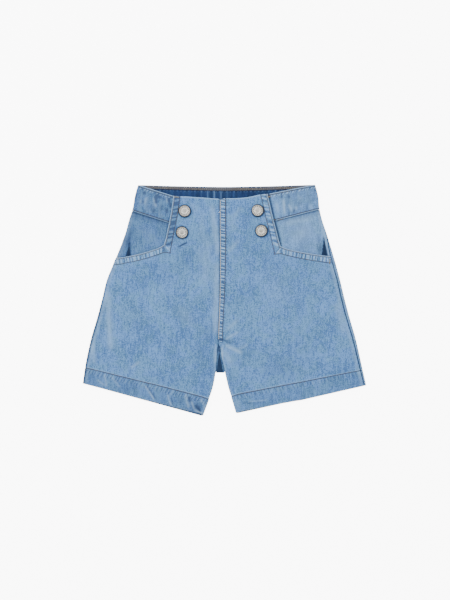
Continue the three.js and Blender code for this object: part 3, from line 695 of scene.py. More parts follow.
# Worn and shaded streaks of the cloth, from one end to the other: width, how worn (or shaded, below 0)
STREAKS = [
    (-166, 12, -162, -72, 4, 0.4), (-170, -10, -176, -60, 3, -0.16), (-187, -60, -185, -92, 3, 0.35),
    (-17.8, 135, -8.5, 60, 4, 0.4), (-24, 92, -28, 20, 7, 0.2), (-11, 54, -13, -50, 4.5, 0.38),
    (-66, -8, -44, -40, 9, 0.16), (-134, -98, -120, -88, 2.2, 0.4), (-30, 128, -34, 84, 5, 0.14),
    (-96, 58, -60, 20, 14, -0.14), (-30, -30, -22, -62, 9, -0.16), (1, -65, 25, -76, 2.2, 0.7),
    (0, -72, 10, -94, 4, 0.34), (14, -84, 34, -92, 6, -0.16), (20, -70, 34, -64, 2, 0.3),
    (-3, -57, 11, -62.5, 1.5, -0.75), (8, -57, 22, -66, 1.3, -0.4), (1, -57, 20, -46, 1.6, 0.5),
    (3, -44, 20, -28, 2.4, 0.34),
    (-3.4, -66, -3.6, -88, 1.7, 0.6), (-30, -46, -18, -58, 2.2, -0.22), (158, -4, 170, -50, 4, 0.3),
    (150, 40, 157, 22, 3, -0.28), (154, 46, 158, 30, 2.2, 0.26), (21.7, 85.5, 4.5, 67.5, 3, 0.26),
    (8, 120, 14, 96, 6, 0.14), (60, 40, 90, -10, 18, 0.1), (34, 126, 28, 104, 3, -0.16),
    (24, 132, 12, 116, 3, 0.2), (-48, 138, -40, 120, 4, 0.14), (96, -40, 120, -96, 16, -0.12),
    (-40, -60, -24, -104, 8, -0.14), (-116, -106, -60, -122, 9, -0.1), (-150, 92, -128, 74, 5, -0.2),
    (-120, 104, -96, 78, 6, 0.12), (-132, 100, -140, 74, 2.5, -0.3), (133, 94, 136, 66, 2.2, -0.35),
    (122, 104, 96, 84, 9, 0.2), (84, 108, 128, 118, 5, 0.2), (104, 80, 120, 76, 4, -0.12),
    (-115.3, 153.9, -112, 149.1, 2.2, -0.75), (-126, 150, -127, 143, 2, -0.6),
    (-116.3, 140.3, -114.9, 136, 2, -0.5), (-97, 149.2, -98.4, 141.2, 1.8, -0.85),
    (-98, 141, -95.6, 136.5, 2.2, -0.9), (-95, 149, -91, 143, 3, -0.6), (-91.7, 134, -87.1, 127.1, 4, -0.4),
    (-80.1, 144.4, -78.1, 138.3, 1.5, -1), (-78.1, 138.3, -75.8, 130.8, 1.5, -0.8),
    (-86.8, 145.5, -86, 141, 1.8, -0.5), (-110.6, 145.8, -113.9, 134.6, 1.6, 0.55),
    (-100.3, 144.4, -99.4, 137.5, 1.3, 0.7), (-99.4, 137.5, -96.6, 131, 1.5, 0.6),
    (-119.6, 142.1, -118.6, 135.5, 1.4, 0.5), (-82, 145.8, -81.5, 137, 1.5, 0.55),
    (-113.9, 126.1, -111.6, 123.3, 2, -0.5), (-101.3, 122, -99.4, 128, 2.4, -0.5),
    (-81.5, 130, -82.5, 121, 1.8, -0.5), (-110, 127, -105, 124, 3, 0.35), (-91, 121, -88, 116, 2.5, 0.3),
    (-104, 136, -103, 126, 4, -0.25), (81, 148.5, 81.6, 143, 1.7, -0.55),
    (91.2, 149.5, 92, 143, 2.1, -0.55), (100, 152.5, 101.6, 148, 2.4, -0.5),
    (127.5, 158, 128, 152, 2.2, -0.5), (99, 129, 97.9, 122.5, 1.9, -0.55),
    (91.1, 124.5, 91.3, 119, 1.9, -0.5), (110.6, 139.3, 104.3, 134.5, 3, -0.3),
    (116, 133, 117, 126, 3, -0.35), (83.8, 142.7, 85.2, 120.7, 1.9, 0.45),
    (91.1, 135.4, 95.5, 125.7, 1.5, 0.5), (101.5, 133, 102, 127, 1.9, 0.45), (73.5, 138, 76, 124, 2.4, 0.3),
    (118, 150, 124, 138, 4, -0.2), (76, 147, 77, 143, 1.6, -0.3), (106, 147, 110, 142, 2.4, 0.2),
    (120, 134, 126, 128, 2.4, 0.25), (-170.7, -105.1, -167.1, -123.5, 1, 0.78),
    (-181.1, -113.6, -169.7, -122.3, 1.1, 0.65), (-160.8, -108.9, -148.1, -125.4, 1.1, 0.59),
    (-113.2, -121.6, -107.6, -129.8, 1, 1.1), (-107.6, -129.8, -100.1, -142.1, 1, 1.17),
    (-110.8, -121.6, -97, -142.1, 1.2, -0.5), (-80.8, -134.6, -78.8, -143.4, 1.1, 0.91),
    (-78.8, -143.4, -75.3, -150.4, 1, 1.1), (-76, -138, -73, -149, 1.3, -0.45),
    (-54.7, -133.9, -54.3, -143.4, 1.5, 1.04), (-54.3, -143.4, -50.4, -153.9, 1.5, 0.98),
    (-47, -144.3, -42.9, -155.9, 1.1, 1.23), (-42.9, -155.9, -31, -162.4, 1.3, 1.3),
    (-34, -140.7, -28.4, -150.5, 1.2, 0.65), (-28.4, -150.5, -27.7, -159.3, 1.2, 0.65),
    (-51.5, -136.6, -48.4, -146, 1.6, -0.9), (-41, -149, -34, -158.6, 3.6, -0.8),
    (-66, -140, -60, -148, 3.5, -0.4), (-48, -160, -38, -164, 1.6, -1), (-90, -134, -86, -144, 3, -0.2),
    (-128, -120, -124, -132, 4, -0.2), (-140, -124, -136, -130, 3, -0.3), (34, -145, 60, -143, 1, 0.39),
    (34, -148, 58, -146, 1.4, -0.25), (18, -140, 22, -158, 2.4, 0.2), (104, -124, 108, -142, 4, -0.16),
    (64, -134, 70, -150, 3, -0.14), (150, -110, 156, -128, 4, -0.14), (-66, 74.6, -52.6, 81.2, 1.4, -1),
    (-60, 70, -48, 62, 9, -0.2), (-38, 76, -34, 52, 5, 0.14), (-12.6, -62.5, -13.6, -90, 1.7, 0.45),
    (-9.5, -57, -2.3, -57, 1.3, -0.7), (26, -146, 38, -147.6, 1.2, -0.4), (50, -98, 112, -98, 16, -0.24),
    (-66, 60, -44, 56, 12, -0.22), (-126, -4, -126, -52, 14, -0.12), (-60, -150, -30, -152, 9, -0.25),
]


def streak_marks(point):
    amounts = [fold_rise(streak, point.x, point.y) for streak in STREAKS]
    worn = sum(a for a in amounts if a > 0)
    shaded = -sum(a for a in amounts if a < 0)
    return worn, shaded


# How far the layers above stand clear of the hip piece and the end of the waistband
HIDDEN_END = 14
HIDDEN_FOOT = 17
BAND_CLOTH = 1.6
BAND_LIFT = (BAND_CLOTH - CLOTH) / 2
OVER_FACING = CLOTH + LAYER_GAP
OVER_BAND = OVER_FACING + 2 * BAND_LIFT


# Where the lower edge of the pocket runs
def pocket_edge_y(side, x):
    edge = side["pocket_edge"]
    start = side["pocket_line"](edge["pocket"])
    t = clamp01((x - start) / (side["side"](edge["side"]) - start))
    return mix(edge["pocket"], edge["side"], t) + edge["sag"] * 4 * t * (1 - t)


# How far the hip piece goes on under the lower edge of the pocket
def hidden_foot(side, x, y):
    return mix(4, HIDDEN_FOOT, ease(4, 34, abs(side["side"](y) - x)))


# How far a front panel is lifted by the hip piece and the end of the band under it
def lift(side, x, y):
    past_end = side["out"] * (side["pocket_line"](y) - x) - HIDDEN_END
    past_foot = pocket_edge_y(side, x) - hidden_foot(side, x, y) - y
    away = math.hypot(max(0, past_end), max(0, past_foot))
    return mix(OVER_FACING, OVER_BAND, ease(84, 100, y)) * (1 - ease(3, 20, away))


# The distance from a seam of a column of a shell, where the first columns are those beside the seam
def step_at(steps, c):
    return steps[c] if c < len(steps) else FAR_OFF


# Edges of a shell are rounded over their last millimetre
def edge_thin(distance):
    return mix(0.3, 1.0, math.sqrt(clamp01(distance / 0.8)))


BACK_COLUMNS = 44
BACK_SEAT_ROWS = 84
BACK_THIGH_ROWS = 18
BACK_HEM_STEPS = [0.5, 1.2, 3, 6, 10, 14, 18, 21, 22.2, 22.8]
SEAT_SEAM_STEPS = [0.0, 0.5, 0.9, 1.4, 1.9, 3.2, 5.0, 5.6, 6.2]
# How far from the seat seam its two rows of stitches run
SEAT_ROWS = (1.4, 5.6)
# Soft drags of the seat that start at the gathered band and the seat seam, a little above the table
SEAT_DRAGS = [
    (-96, 124, -88, 84, 4, 0.35), (-70, 124, -66, 92, 4, 0.3), (-44, 124, -42, 70, 5, 0.4),
    (-24, 124, -26, 88, 4, 0.3), (14, 124, 18, 78, 4, 0.35), (38, 124, 36, 96, 4, 0.3),
    (62, 124, 58, 74, 5, 0.4), (92, 126, 86, 90, 4, 0.3), (-18, -60, -62, -84, 6, 0.45),
    (4, -64, 46, -88, 6, 0.45), (-30, -30, -90, -48, 7, 0.35), (20, -28, 84, -50, 7, 0.35),
    (-120, 30, -150, -20, 8, 0.3), (130, 34, 150, -24, 8, 0.3),
]


def seat_drag(point):
    return sum(fold_rise(drag, point.x, point.y) for drag in SEAT_DRAGS)


# The length of cloth in a quarter of the roll that goes from the table up to a height
def quarter_turn(top):
    return (top - BACK_Z) / 2 * math.pi / 2


def levels_between(start, end, shares):
    return [(mix(start[0], end[0], t), mix(start[1], end[1], t)) for t in shares]


# A row of cloth that lies on the table, with the soft drags of the seat
def settled(row):
    for p in row:
        if abs(p.z - BACK_Z) < 0.01:
            p.z += seat_drag(p)
    return row


# Four patches: the main part, the strip beside the seat seam, the edges of the leg, and the fold of the seat
# that comes up between the legs. Each level is a pair of heights, at the inner edge and at the side.
def back_panel(name, side, material):
    into = side["out"]
    fold_row = SEAT_FOLD_Y + CLOTH / 2 + SEAT_FOLD_RADIUS
    hem_stitch = side["hem_stitch"]
    hem_edge = side["hem_edge"]
    leg_top = lambda y: lie(side["inner_leg"](y) + into * 4, y)
    top = (side["band_foot"]["back"] - 2 * SEAM_GAP, side["band_foot"]["side"] - SEAM_GAP)
    seat_end = (fold_row, -66)
    thigh_end = (hem_stitch["seam"], hem_stitch["side"])
    seat = levels_between(top, seat_end, [0, 0.004] + spaced(0.004, 1, BACK_SEAT_ROWS) + [1])
    thigh = levels_between(seat_end, thigh_end, spaced(0, 0.98, BACK_THIGH_ROWS) + [0.98, 0.991, 1])
    depth = hem_stitch["seam"] - hem_edge["seam"] + 0.8
    side_depth = hem_stitch["side"] - hem_edge["side"]
    hem_steps = [d for d in BACK_HEM_STEPS if d < depth - 1] + [depth - 0.5, depth]
    hem = [(thigh_end[0] - d, thigh_end[1] - d * side_depth / depth) for d in hem_steps]
    levels = seat + thigh + hem
    last_seat = len(seat) - 1
    last = len(levels) - 1

    def leg_point(y, turned):
        return round_edge(side["inner_leg"], y, into, CLOTH, leg_top(y), BACK_Z, turned)

    def leg_foot(y):
        at = min(y, fold_row)
        foot = leg_point(at, -quarter_turn(leg_top(at)))
        foot.y = y
        return foot

    main = []
    for seam_y, side_y in levels:
        foot = leg_foot(seam_y)
        quarter = quarter_turn(lie(side["side"](side_y) - into * 3, side_y))
        course = course_to(side["side"](side_y), side_y, foot)
        end = side["side_seam"](side_y) - SIDE_GAP / 2
        turns = [-14, -10, -7, -4.8, -quarter] + spaced(-quarter, end - 0.45, 7)
        edge = [side_point(side, course, turned, from_seam=False) for turned in turns]
        edge += [side_point(side, course, -SIDE_GAP / 2 - before) for before in (0.8, 0.4, 0)]
        flat = [foot.lerp(edge[0], t) for t in spaced(0, 1, BACK_COLUMNS)]
        main.append(settled([foot] + flat + edge))
    columns = len(main[0]) - 1

    strip = []
    for r, (y, side_y) in enumerate(seat):
        row = [Vector((centre_seam(y) + into * step, y, BACK_Z)) for step in SEAT_SEAM_STEPS]
        strip.append(settled(row) + [main[r][0]])

    legs = [[main[last_seat][0]] * 6]
    for r in range(last_seat + 1, last + 1):
        y = levels[r][0]
        turns = (-0.4, -0.8, -1.3, -1.8, -quarter_turn(leg_top(y)) * 0.85)
        legs.append([leg_point(y, turned) for turned in turns] + [main[r][0]])

    run = []
    for share in (0.12, 0.25, 0.37, 0.5, 0.62, 0.75, 0.87, 1):
        rise = SEAT_FOLD_RADIUS * (1 - math.cos(share * math.pi))
        run.append((fold_row - SEAT_FOLD_RADIUS * math.sin(share * math.pi), BACK_Z + rise))
    run += [(y, mix(2.8, 3.4, ease(-96, -74, y))) for y in (-99, -96, -93, -90, -87, -84, -81, -78, -74.5)]
    fold = [list(strip[-1])]
    for y, z in run:
        width = max(0.9, into * (side["inner_leg"](y) - into * LAYER_GAP - centre_seam(y)))
        shares = [0] + spaced(0, 1, len(strip[-1]) - 2) + [1]
        fold.append([Vector((centre_seam(y) + into * width * t, y, z)) for t in shares])

    nowhere = lambda r, c, p: (0.0, FAR_OFF, 0.0)
    hem_down = lambda r: thigh_end[0] - levels[r][0]
    whole_hem = lambda r, c, p: (p.x, hem_down(r), 1.0)
    leg_hem = lambda r, c, p: (p.y, hem_down(last_seat + r), 1.0)
    seat_at = lambda r, c, p: (p.y, abs(p.x - centre_seam(p.y)), 1.0)

    # Cloth raised above the table gets painted shade, and painted deep shadow in the crotch gap
    def plain_wear(r, c, p):
        if p.z >= SHOWS_ABOVE:
            return 0.0, 0.15, wedge_dark(CROTCH_GAP, p)
        return seat_drag(p) * 0.5, 0.0, 0.0

    # Beside the side seam the cloth is worn pale, with painted deep shade in the seam itself
    def side_wear(r, c, p):
        worn, shaded, dark = plain_wear(r, c, p)
        away = columns - c
        return worn + 0.35 * ease(0, 2, away) * ease(9, 4, away), shaded, 0.85 * ease(1.6, 0, away)

    # The seat's fold between the legs gets painted shade and painted deep shadow
    def fold_wear(r, c, p):
        return 0.0, 0.35, wedge_dark(CROTCH_GAP, p) if p.z > SHOWS_ABOVE else 0.6

    def marks_at(wear, hem_at, seam_at):
        return lambda r, c, p: {"wear": wear(r, c, p), "hem": hem_at(r, c, p), "seat_seam": seam_at(r, c, p)}

    def thin(r, c):
        return edge_thin(min(r * 0.9, (last - r) * 0.5, (columns - c) * 0.4))

    def outer(r, c, p):
        return CLOTH / 2 * thin(r, c) - 0.3 * bell(hem_down(r), 0.8)

    def inner(r, c, p):
        hemmed = HEM_RAISE if r > last_seat + len(thigh) else 0
        return (CLOTH / 2 + hemmed) * thin(r, c) if p.z > SHOWS_ABOVE or hemmed else CLOTH / 2

    def seat_outer(r, c, p):
        at = step_at(SEAT_SEAM_STEPS, c)
        groove = 0.3 * max(ease(0.6, 0, abs(at - row)) for row in SEAT_ROWS) if into > 0 else 0
        return CLOTH / 2 * min(1, 0.5 + c * 0.5) - groove

    half = lambda r, c, p: CLOTH / 2
    leg_edge = lambda r, c, p: CLOTH / 2 * edge_thin(c * 0.4)
    shell = Cloth(name, flip=into < 0)
    shell.add(main, outer, inner, marks_at(side_wear, whole_hem, seat_at))
    shell.add(strip, seat_outer, half, marks_at(plain_wear, nowhere, seat_at))
    shell.add(legs, leg_edge, leg_edge, marks_at(plain_wear, leg_hem, nowhere))
    shell.add(fold, half, half, marks_at(fold_wear, nowhere, nowhere))
    shell.hem_row = len(seat) + len(thigh) - 1
    shell.last_seat = last_seat
    return shell.finish(material), shell


back_denim = denim_material(
    "back_denim",
    [
        sewn("hem", 0.6, near=1.0, far=9.0, first_row=0.0, ridge=-1.4, skew=0.5, crest=0.6),
        sewn("seat_seam", 0.7, near=2.0, far=5.2, first_row=1.4, second_row=5.6, spacing=4.5),
    ],
)
back_left, back_left_shell = back_panel("back_panel_left_cloth", LEFT, back_denim)
back_right, back_right_shell = back_panel("back_panel_right_cloth", RIGHT, back_denim)
for piece, node_name in ((back_left, "back_panel_left"), (back_right, "back_panel_right")):
    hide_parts(node_name)
    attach(piece, "root")


# Hip pieces
# Two small pieces of the same denim, sewn under the waistband and into the side seams. They show in the
# pocket openings, and end loose under the front panels. Near the side each one dips where the pocket gapes.
HIP_ROWS = 46
HIP_COLUMNS = 40
# Places across the hip piece and the waistband, measured from the pocket edge that lies over them
UNDER_EDGE = [-14, -9, -5, -2.4, -1, 0, 0.5, 1, 1.6, 2.4, 3.4]
HIP_SIDE_STEPS = [HALF_GAP, 0.5, 0.9, 1.4, 2.0, 2.7, 3.6, 4.8, 6, 7.5, 9, 10.5, 12]
# The share of the piece's height from which its lower end is hidden under the front panel
HIDDEN_FROM = 0.92
# Where the pocket gapes beside the side seam, as wedges of shadow
GAPES = [
    (140.2, 90, 139, 60, 0.4, 8.4, 0.36), (141.4, 87.4, 142.4, 60, 0.2, 5.4, 1.0),
    (131.6, 79, 133.4, 67, 0.5, 1.2, 0.5), (-134.4, 87, -136.6, 58, 0.3, 4.8, 0.55),
    (-135.4, 79, -136.6, 58, 0.2, 4.8, 1.0),
]


# The line of shadow beside the upright pocket edge
def pocket_shadow(side, p):
    past = side["out"] * (p.x - side["pocket_line"](p.y))
    shadow = side["pocket_shadow"]
    return shadow["dark"] * bell(past - shadow["away"], shadow["reach"])


# The pale line beside the side seam, where "step" is the distance from it
def seam_fade(step):
    return 0.3 * ease(0.8, 2.0, step) * ease(7.0, 4.0, step)


def hip_piece(name, side, material):
    first = below(side["band_foot"], SEAM_GAP)
    shares = [0, 0.008, 0.02] + spaced(0.02, HIDDEN_FROM, HIP_ROWS - 12) + [HIDDEN_FROM]
    shares += spaced(HIDDEN_FROM, 1, 8) + [1]
    rows = []
    for t in shares:
        level = between(first, side["pocket_edge"], t)
        hidden = clamp01((t - HIDDEN_FROM) / (1 - HIDDEN_FROM))
        side_y = level["side"] + t * SEAM_GAP
        side_x = side["side"](side_y)
        pocket = crossing(side["pocket_line"], level["pocket"])
        course = course_to(side_x, side_y, pocket, level["sag"])
        edge = [side_point(side, course, step) for step in HIP_SIDE_STEPS]
        for point, step in zip(edge, HIP_SIDE_STEPS):
            if step > 2.4:
                deepest = hidden_foot(side, point.x, point.y) - 2
                drop = 3 * ease(2.4, 6, step) if step <= 6 else mix(3, deepest, ease(6, 12, step))
                point.y -= hidden * drop
        near_x = pocket.x + side["out"] * UNDER_EDGE[-1]
        inner = []
        stops = [mix(edge[-1].x, near_x, share) for share in spaced(0, 1, HIP_COLUMNS)]
        stops += [pocket.x + side["out"] * away for away in reversed(UNDER_EDGE)]
        for x in stops:
            plan = Vector((x, course(abs(x - side_x)), 0))
            plan.y -= hidden * (hidden_foot(side, x, plan.y) - 2)
            plan.z = lie(plan.x, plan.y)
            inner.append(plan)
        rows.append(edge + inner)

    def thin(r, c):
        return edge_thin(min(r * 0.4, step_at(HIP_SIDE_STEPS, c) - HALF_GAP))

    def marks(r, c, p):
        down = shares[r] * (first["pocket"] - side["pocket_edge"]["pocket"])
        step = step_at(HIP_SIDE_STEPS, c)
        worn, shaded = streak_marks(p)
        worn += seam_fade(step)
        # Painted shade under the lower pocket edge and under the band; painted deep shadow in the gapes,
        # along the seams and beside the upright pocket edge
        shaded += 0.4 * bell(p.y - pocket_edge_y(side, p.x), 1.8)
        shaded += 0.3 * ease(6.0, 1.0, down) + max(0, side["hip_shade"])
        worn += max(0, -side["hip_shade"])
        dark = max(wedge_dark(GAPES, p), 0.6 * ease(1.4, 0.3, down), 0.85 * ease(1.1, 0.2, step))
        dark = max(dark, pocket_shadow(side, p))
        return {"wear": (worn, shaded, dark)}

    shell = Cloth(name, flip=side["out"] < 0)
    half = lambda r, c, p: CLOTH / 2 * thin(r, c)
    shell.add(rows, half, half, marks)
    return shell.finish(material)


hip_denim = denim_material("hip_denim", [], clouds=0.75, threads=3.6)
hip_left = hip_piece("hip_piece_left_cloth", LEFT, hip_denim)
hip_right = hip_piece("hip_piece_right_cloth", RIGHT, hip_denim)
for piece, node_name in ((hip_left, "hip_piece_left"), (hip_right, "hip_piece_right")):
    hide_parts(node_name)
    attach(piece, "root")


# Inside of the waistband
# The darker side of the denim, gathered by the elastic behind it. It is folded over along the top,
# where two rows of stitches hold it, and it shows in the waist opening.
GATHERS = 27
GATHER_STEPS = 12
GATHER_RISE = 0.55
FACING_DROP = 1.6
FACING_ENDS = (-113, 119)
FACING_Z = BAND_CLOTH + SEAM_GAP + CLOTH / 2
FACING_ROWS = [0, 0.3, 0.7, 1.2, 1.8, 2.4, 3.0, 3.6, 4.4, 5.6, 7, 9, 12, 15, 18, 22, 26, 30, 33]
# How far down its two rows of stitches run
FACING_STITCHES = (1.2, 3.0)
INSIDE_PALE = (0.026, 0.066, 0.19, 1)
INSIDE_DEEP = (0.012, 0.03, 0.095, 1)
INSIDE_WORN = (0.14, 0.24, 0.42, 1)
INSIDE_SHADE = (0.006, 0.012, 0.04, 1)
FOLDED_STRIP = (0.095, 0.092, 0.1, 1)


def facing_wave(t, c):
    drift = 0.9 * math.sin(7.3 * t) + 0.6 * math.sin(19.1 * t + 1)
    wave = 0.5 - 0.5 * math.cos(2 * math.pi * (c / GATHER_STEPS) + drift)
    height = 0.65 + 0.35 * math.sin(13.7 * t + 2)
    return wave ** 1.6 * height * ease(0, 0.06, t) * ease(0, 0.06, 1 - t)


def make_dark_denim():
    material, tree, shader = new_material("inside_denim", {"Roughness": 0.92, "Specular IOR Level": 0.12})
    inputs = {"Place": place_on(tree), "Pale": INSIDE_PALE, "Deep": INSIDE_DEEP}
    cloth = node(tree, "Group", inputs, node_tree=washed_denim).outputs
    worn, shaded, strip = mark_of(tree, "wear").parts()
    color = blended(worn, Value(cloth["Color"]), INSIDE_WORN)
    color = blended(shaded, color, INSIDE_SHADE)
    feed(shader.inputs["Base Color"], blended(strip, color, FOLDED_STRIP))
    bump = value(tree, "Bump", {"Strength": 0.5, "Distance": 0.0008, "Height": Value(cloth["Height"])})
    feed(shader.inputs["Normal"], bump)
    return material


def band_facing(name, material):
    columns = GATHERS * GATHER_STEPS
    rows = []
    for down in FACING_ROWS:
        row = []
        for c in range(columns + 1):
            t = c / columns
            rise = LEFT["waist"]["back"] + 3 * abs(2 * t - 1) ** 1.5
            row.append(Vector((mix(FACING_ENDS[0], FACING_ENDS[1], t), rise - FACING_DROP - down, FACING_Z)))
        rows.append(row)

    def outside(r, c, p):
        down = FACING_ROWS[r]
        strip = 0.35 * (1 - ease(3.0, 3.8, down))
        gather = GATHER_RISE * facing_wave(c / columns, c) * mix(0.2, 1, ease(2.6, 6, down))
        return (CLOTH / 2 + strip + gather) * edge_thin(down)

    def marks(r, c, p):
        down = FACING_ROWS[r]
        wave = facing_wave(c / columns, c)
        below_strip = ease(3.2, 4.2, down)
        # Painted shadow under the folded top and painted shade in the dips of the gathers; the tops of the
        # gathers and a row of dashes are paler
        fold_shadow = 0.85 * bell(down - 4.1, 0.7) + 0.8 * ease(0.7, 0.1, down)
        dashes = 0.5 * bell(down - 5.4, 0.7) * max(0, math.sin(c * 0.9 + math.sin(c * 0.13)))
        worn = (0.7 * wave ** 8 + dashes) * below_strip
        shaded = fold_shadow + 0.35 * (1 - wave) ** 2 * below_strip
        # The facing's mark holds its paler marks, its painted shade and its grey folded strip
        return {"wear": (worn, shaded, 0.9 * (1 - below_strip))}

    shell = Cloth(name, flip=True)
    shell.add(rows, outside, lambda r, c, p: CLOTH / 2 * edge_thin(FACING_ROWS[r]), marks)
    return shell.finish(material), shell


facing, facing_shell = band_facing("band_facing_cloth", make_dark_denim())
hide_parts("band_facing")
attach(facing, "root")


# Waistband
# One strip of denim, 35 mm deep with the elastic inside it. It runs from under the left pocket edge round the
# back to under the right one, and its elastic draws the cloth into soft slanting puckers.
BAND_HEIGHT = 35
BAND_DEPTH = [
    0, 0.3, 0.7, 1.2, 1.8, 2.4, 3.4, 5, 7, 9, 11, 13, 15, 17, 19, 21, 23, 25, 27, 29, 31, 32.4, 33.2, 33.8,
    34.3, 34.7, BAND_HEIGHT,
]
# How far down its two rows of stitches run
BAND_ROWS = (1.8, 33.2)
BAND_TURNS = [12, 10, 8, 6.4, 5, 4, 3.2, 2.5, 1.8, 1.1, 0.4, -0.4, -1.1, -1.8, -2.5, -3.2, -4, -6, -9, -12]
BAND_FRONT_COLUMNS = 44
BAND_BACK_COLUMNS = 72
BAND_GATHER = 0.4
# The puckers at the two ends: place across, lean and rise
BAND_PUCKERS = [
    (-119, 4, 0.4), (-109, 6, 0.5), (-100, 7, 0.6), (-91, 5, 0.5), (84, -5, 0.4), (95, -7, 0.45),
    (107, -8, 0.4), (120, -5, 0.35), (-96, -9, 0.25), (-113, -5, 0.25), (101, 10, 0.22), (114, 9, 0.25),
    (78, 3, 0.2), (-83, 3, 0.3),
]


def band_pucker(point, share):
    total = 0
    for x, lean, rise in BAND_PUCKERS:
        away = point.x - x - lean * (0.5 - share)
        total += rise * bell(away, 3) * math.sin(math.pi * clamp01(share * 0.9 + 0.05))
    return total


def band_half(side, share):
    waist = side["waist"]
    foot = side["band_foot"]
    pocket_y = mix(waist["pocket"], foot["pocket"], share)
    side_y = mix(waist["side"], foot["side"], share)
    back_y = mix(waist["back"], foot["back"], share)
    inner = crossing(side["pocket_line"], pocket_y)
    side_x = side["side"](side_y)
    middle = Vector((0, back_y, BAND_CLOTH / 2))
    over = course_to(side_x, side_y, inner)
    under = course_to(side_x, side_y, middle)
    size = {"thickness": BAND_CLOTH, "bottom": BAND_CLOTH / 2, "raised": lambda x, y: BAND_LIFT}
    turned = [
        side_point(side, over if step > 0 else under, step, from_seam=False, **size) for step in BAND_TURNS
    ]
    start = turned[0]
    towards = (start - inner).normalized()
    front = []
    for away in UNDER_EDGE + spaced(UNDER_EDGE[-1], (start - inner).length, BAND_FRONT_COLUMNS):
        plan = inner + towards * away
        plan.z = lie(plan.x, plan.y) + BAND_LIFT
        front.append(plan)
    back = []
    for t in spaced(0, 1, BAND_BACK_COLUMNS):
        plan = turned[-1].lerp(middle, t)
        plan.y = mix(back_y, turned[-1].y, (1 - t) ** mix(1.5, 1, share))
        back.append(plan)
    return front + turned + back, middle


def waistband(name, material):
    rows = []
    for down in BAND_DEPTH:
        left, middle = band_half(LEFT, down / BAND_HEIGHT)
        right, middle = band_half(RIGHT, down / BAND_HEIGHT)
        rows.append(left + [middle] + right[::-1])
    thin = lambda r: edge_thin(min(BAND_DEPTH[r], BAND_HEIGHT - BAND_DEPTH[r]))

    def outside(r, c, p):
        down = BAND_DEPTH[r]
        groove = 0.22 * sum(bell(down - row, 0.7) for row in BAND_ROWS)
        if p.z > (BAND_CLOTH / 2 + WAIST_Z) / 2:
            drawn = band_pucker(p, down / BAND_HEIGHT)
        else:
            drawn = -BAND_GATHER * pleat(p.x, down, 7.5, 0.05) * ease(1, 5, down) * ease(34, 30, down)
        return (BAND_CLOTH / 2 - groove + drawn) * thin(r)

    def marks(r, c, p):
        down = BAND_DEPTH[r]
        on_top = p.z > 3.4
        worn = 0.85 * ease(1.5, 0.5, down) + 0.6 * ease(33.8, 34.2, down) * ease(35.2, 34.8, down)
        shaded = 0.1
        # Painted deep shade along the seam under the band
        dark = 0.7 * ease(34.7, 35, down)
        if on_top:
            side = LEFT if p.x < 0 else RIGHT
            pucker = band_pucker(p, down / BAND_HEIGHT)
            share = ease(2, 6, down) * ease(33, 29, down)
            streaked, streak_shade = streak_marks(p)
            worn += 1.4 * streaked + 0.6 * max(0, pucker - 0.24) * share
            shaded += 1.5 * streak_shade + max(0, side["band_shade"]) * ease(0, 5, down)
            worn += max(0, -side["band_shade"])
            dark = max(dark, pocket_shadow(side, p))
        elif abs(p.x) < 118:
            worn *= 0.2
            # Painted shade on the top of the band, behind the facing
            dark = max(dark, 0.55 * ease(2.4, 1.0, down))
        return {
            "wear": (worn, shaded, dark),
            "band_edge": (p.x, down, 1.0),
            "elastic": (p.x, down, 0.0 if on_top else 1.0),
        }

    shell = Cloth(name)
    shell.add(rows, outside, lambda r, c, p: BAND_CLOTH / 2 * thin(r), marks)
    return shell.finish(material), shell


band_denim = denim_material(
    "band_denim",
    [
        sewn(
            "band_edge", 0.9, near=2.2, far=5.0, first_row=BAND_ROWS[0], second_row=BAND_ROWS[1],
            spacing=4.5, skew=0.8,
        ),
        sewn("elastic", 0.4, near=1.0, far=34.0, spacing=7.5, skew=0.05),
    ],
    clouds=0.85,
    threads=3.2,
)
band, band_shell = waistband("waistband_cloth", band_denim)
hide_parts("waistband")
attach(band, "root")


# Front panels
# The two front legs. Each is cut away at the hip, where its edge is turned in 10 mm and held by two rows of
# stitches, and its hem is turned up 23 mm. The right panel is felled over the left one at the centre seam.
CROTCH_Y = -60
FORK_LENGTH = 12
TURNED_RAISE = 0.5
SEAM_STEPS = [HALF_GAP, 0.4, 0.8, 1.4, 2.2, 3.5, 5, 6.5, 8, 9.0, 9.6, 10.2, 10.8, 12]
LEG_STEPS = [HALF_GAP, 0.5, 0.9, 1.4, 2.0, 2.7, 3.6, 4.6, 5.8, 7, 8.2, 9.4, 10.6, 12]
TURNED_STEPS = [0, 0.3, 0.7, 1.2, 1.8, 2.5, 4, 5.7, 7.4, 8.8, 9.6, 10.0, 10.4, 11.0, 12.5]
# How far from the pocket edge, and from the felled centre seam, their two rows of stitches run
POCKET_ROWS = (1.8, 9.6)
FELLED_ROWS = (1.4, 9.0)
SIDE_STEPS = [13, 11, 9, 7.4, 6, 4.8, 3.8, 3, 2.4, 1.8, 1.2, 0.8, 0.4, HALF_GAP]
HEM_STEPS = [0, 0.4, 0.9, 1.5, 2.4, 3.6, 5, 6.5, 8, 9.5, 11, 12.5, 14, 15.5, 17, 18.5, 20, 21, 21.8]
UPPER_ROWS = 60
LEG_ROWS = 84
MIDDLE_COLUMNS = 56
OUTER_COLUMNS = 60
CORNER_FILL = 1.5
PLEAT_SPACING = 4.7
# How much slower the pleats follow each other along the upright pocket edge than along the lower one
UPRIGHT_PACE = 0.67
PLEAT_RISE = 0.26
FELLED_RISE = 0.16
# A distance that is past the whole turned strip
BEYOND = 60
# About how far it is down the upright pocket edge, from the waist to its corner
UPPER_LENGTH = 70
HEM_PUCKERS = [
    (-180, 0.35), (-172, 0.3), (-146, 0.25), (-112, 0.5), (-100, -0.3), (-78, 0.45), (-58, 0.4),
    (-49, 0.55), (-38, 0.6), (-44, -0.3), (-133, 0.2), (-90, 0.22), (24, 0.2), (41, 0.25), (60, 0.18),
    (84, 0.25), (104, 0.2), (131, 0.25), (156, 0.2), (182, 0.2),
]
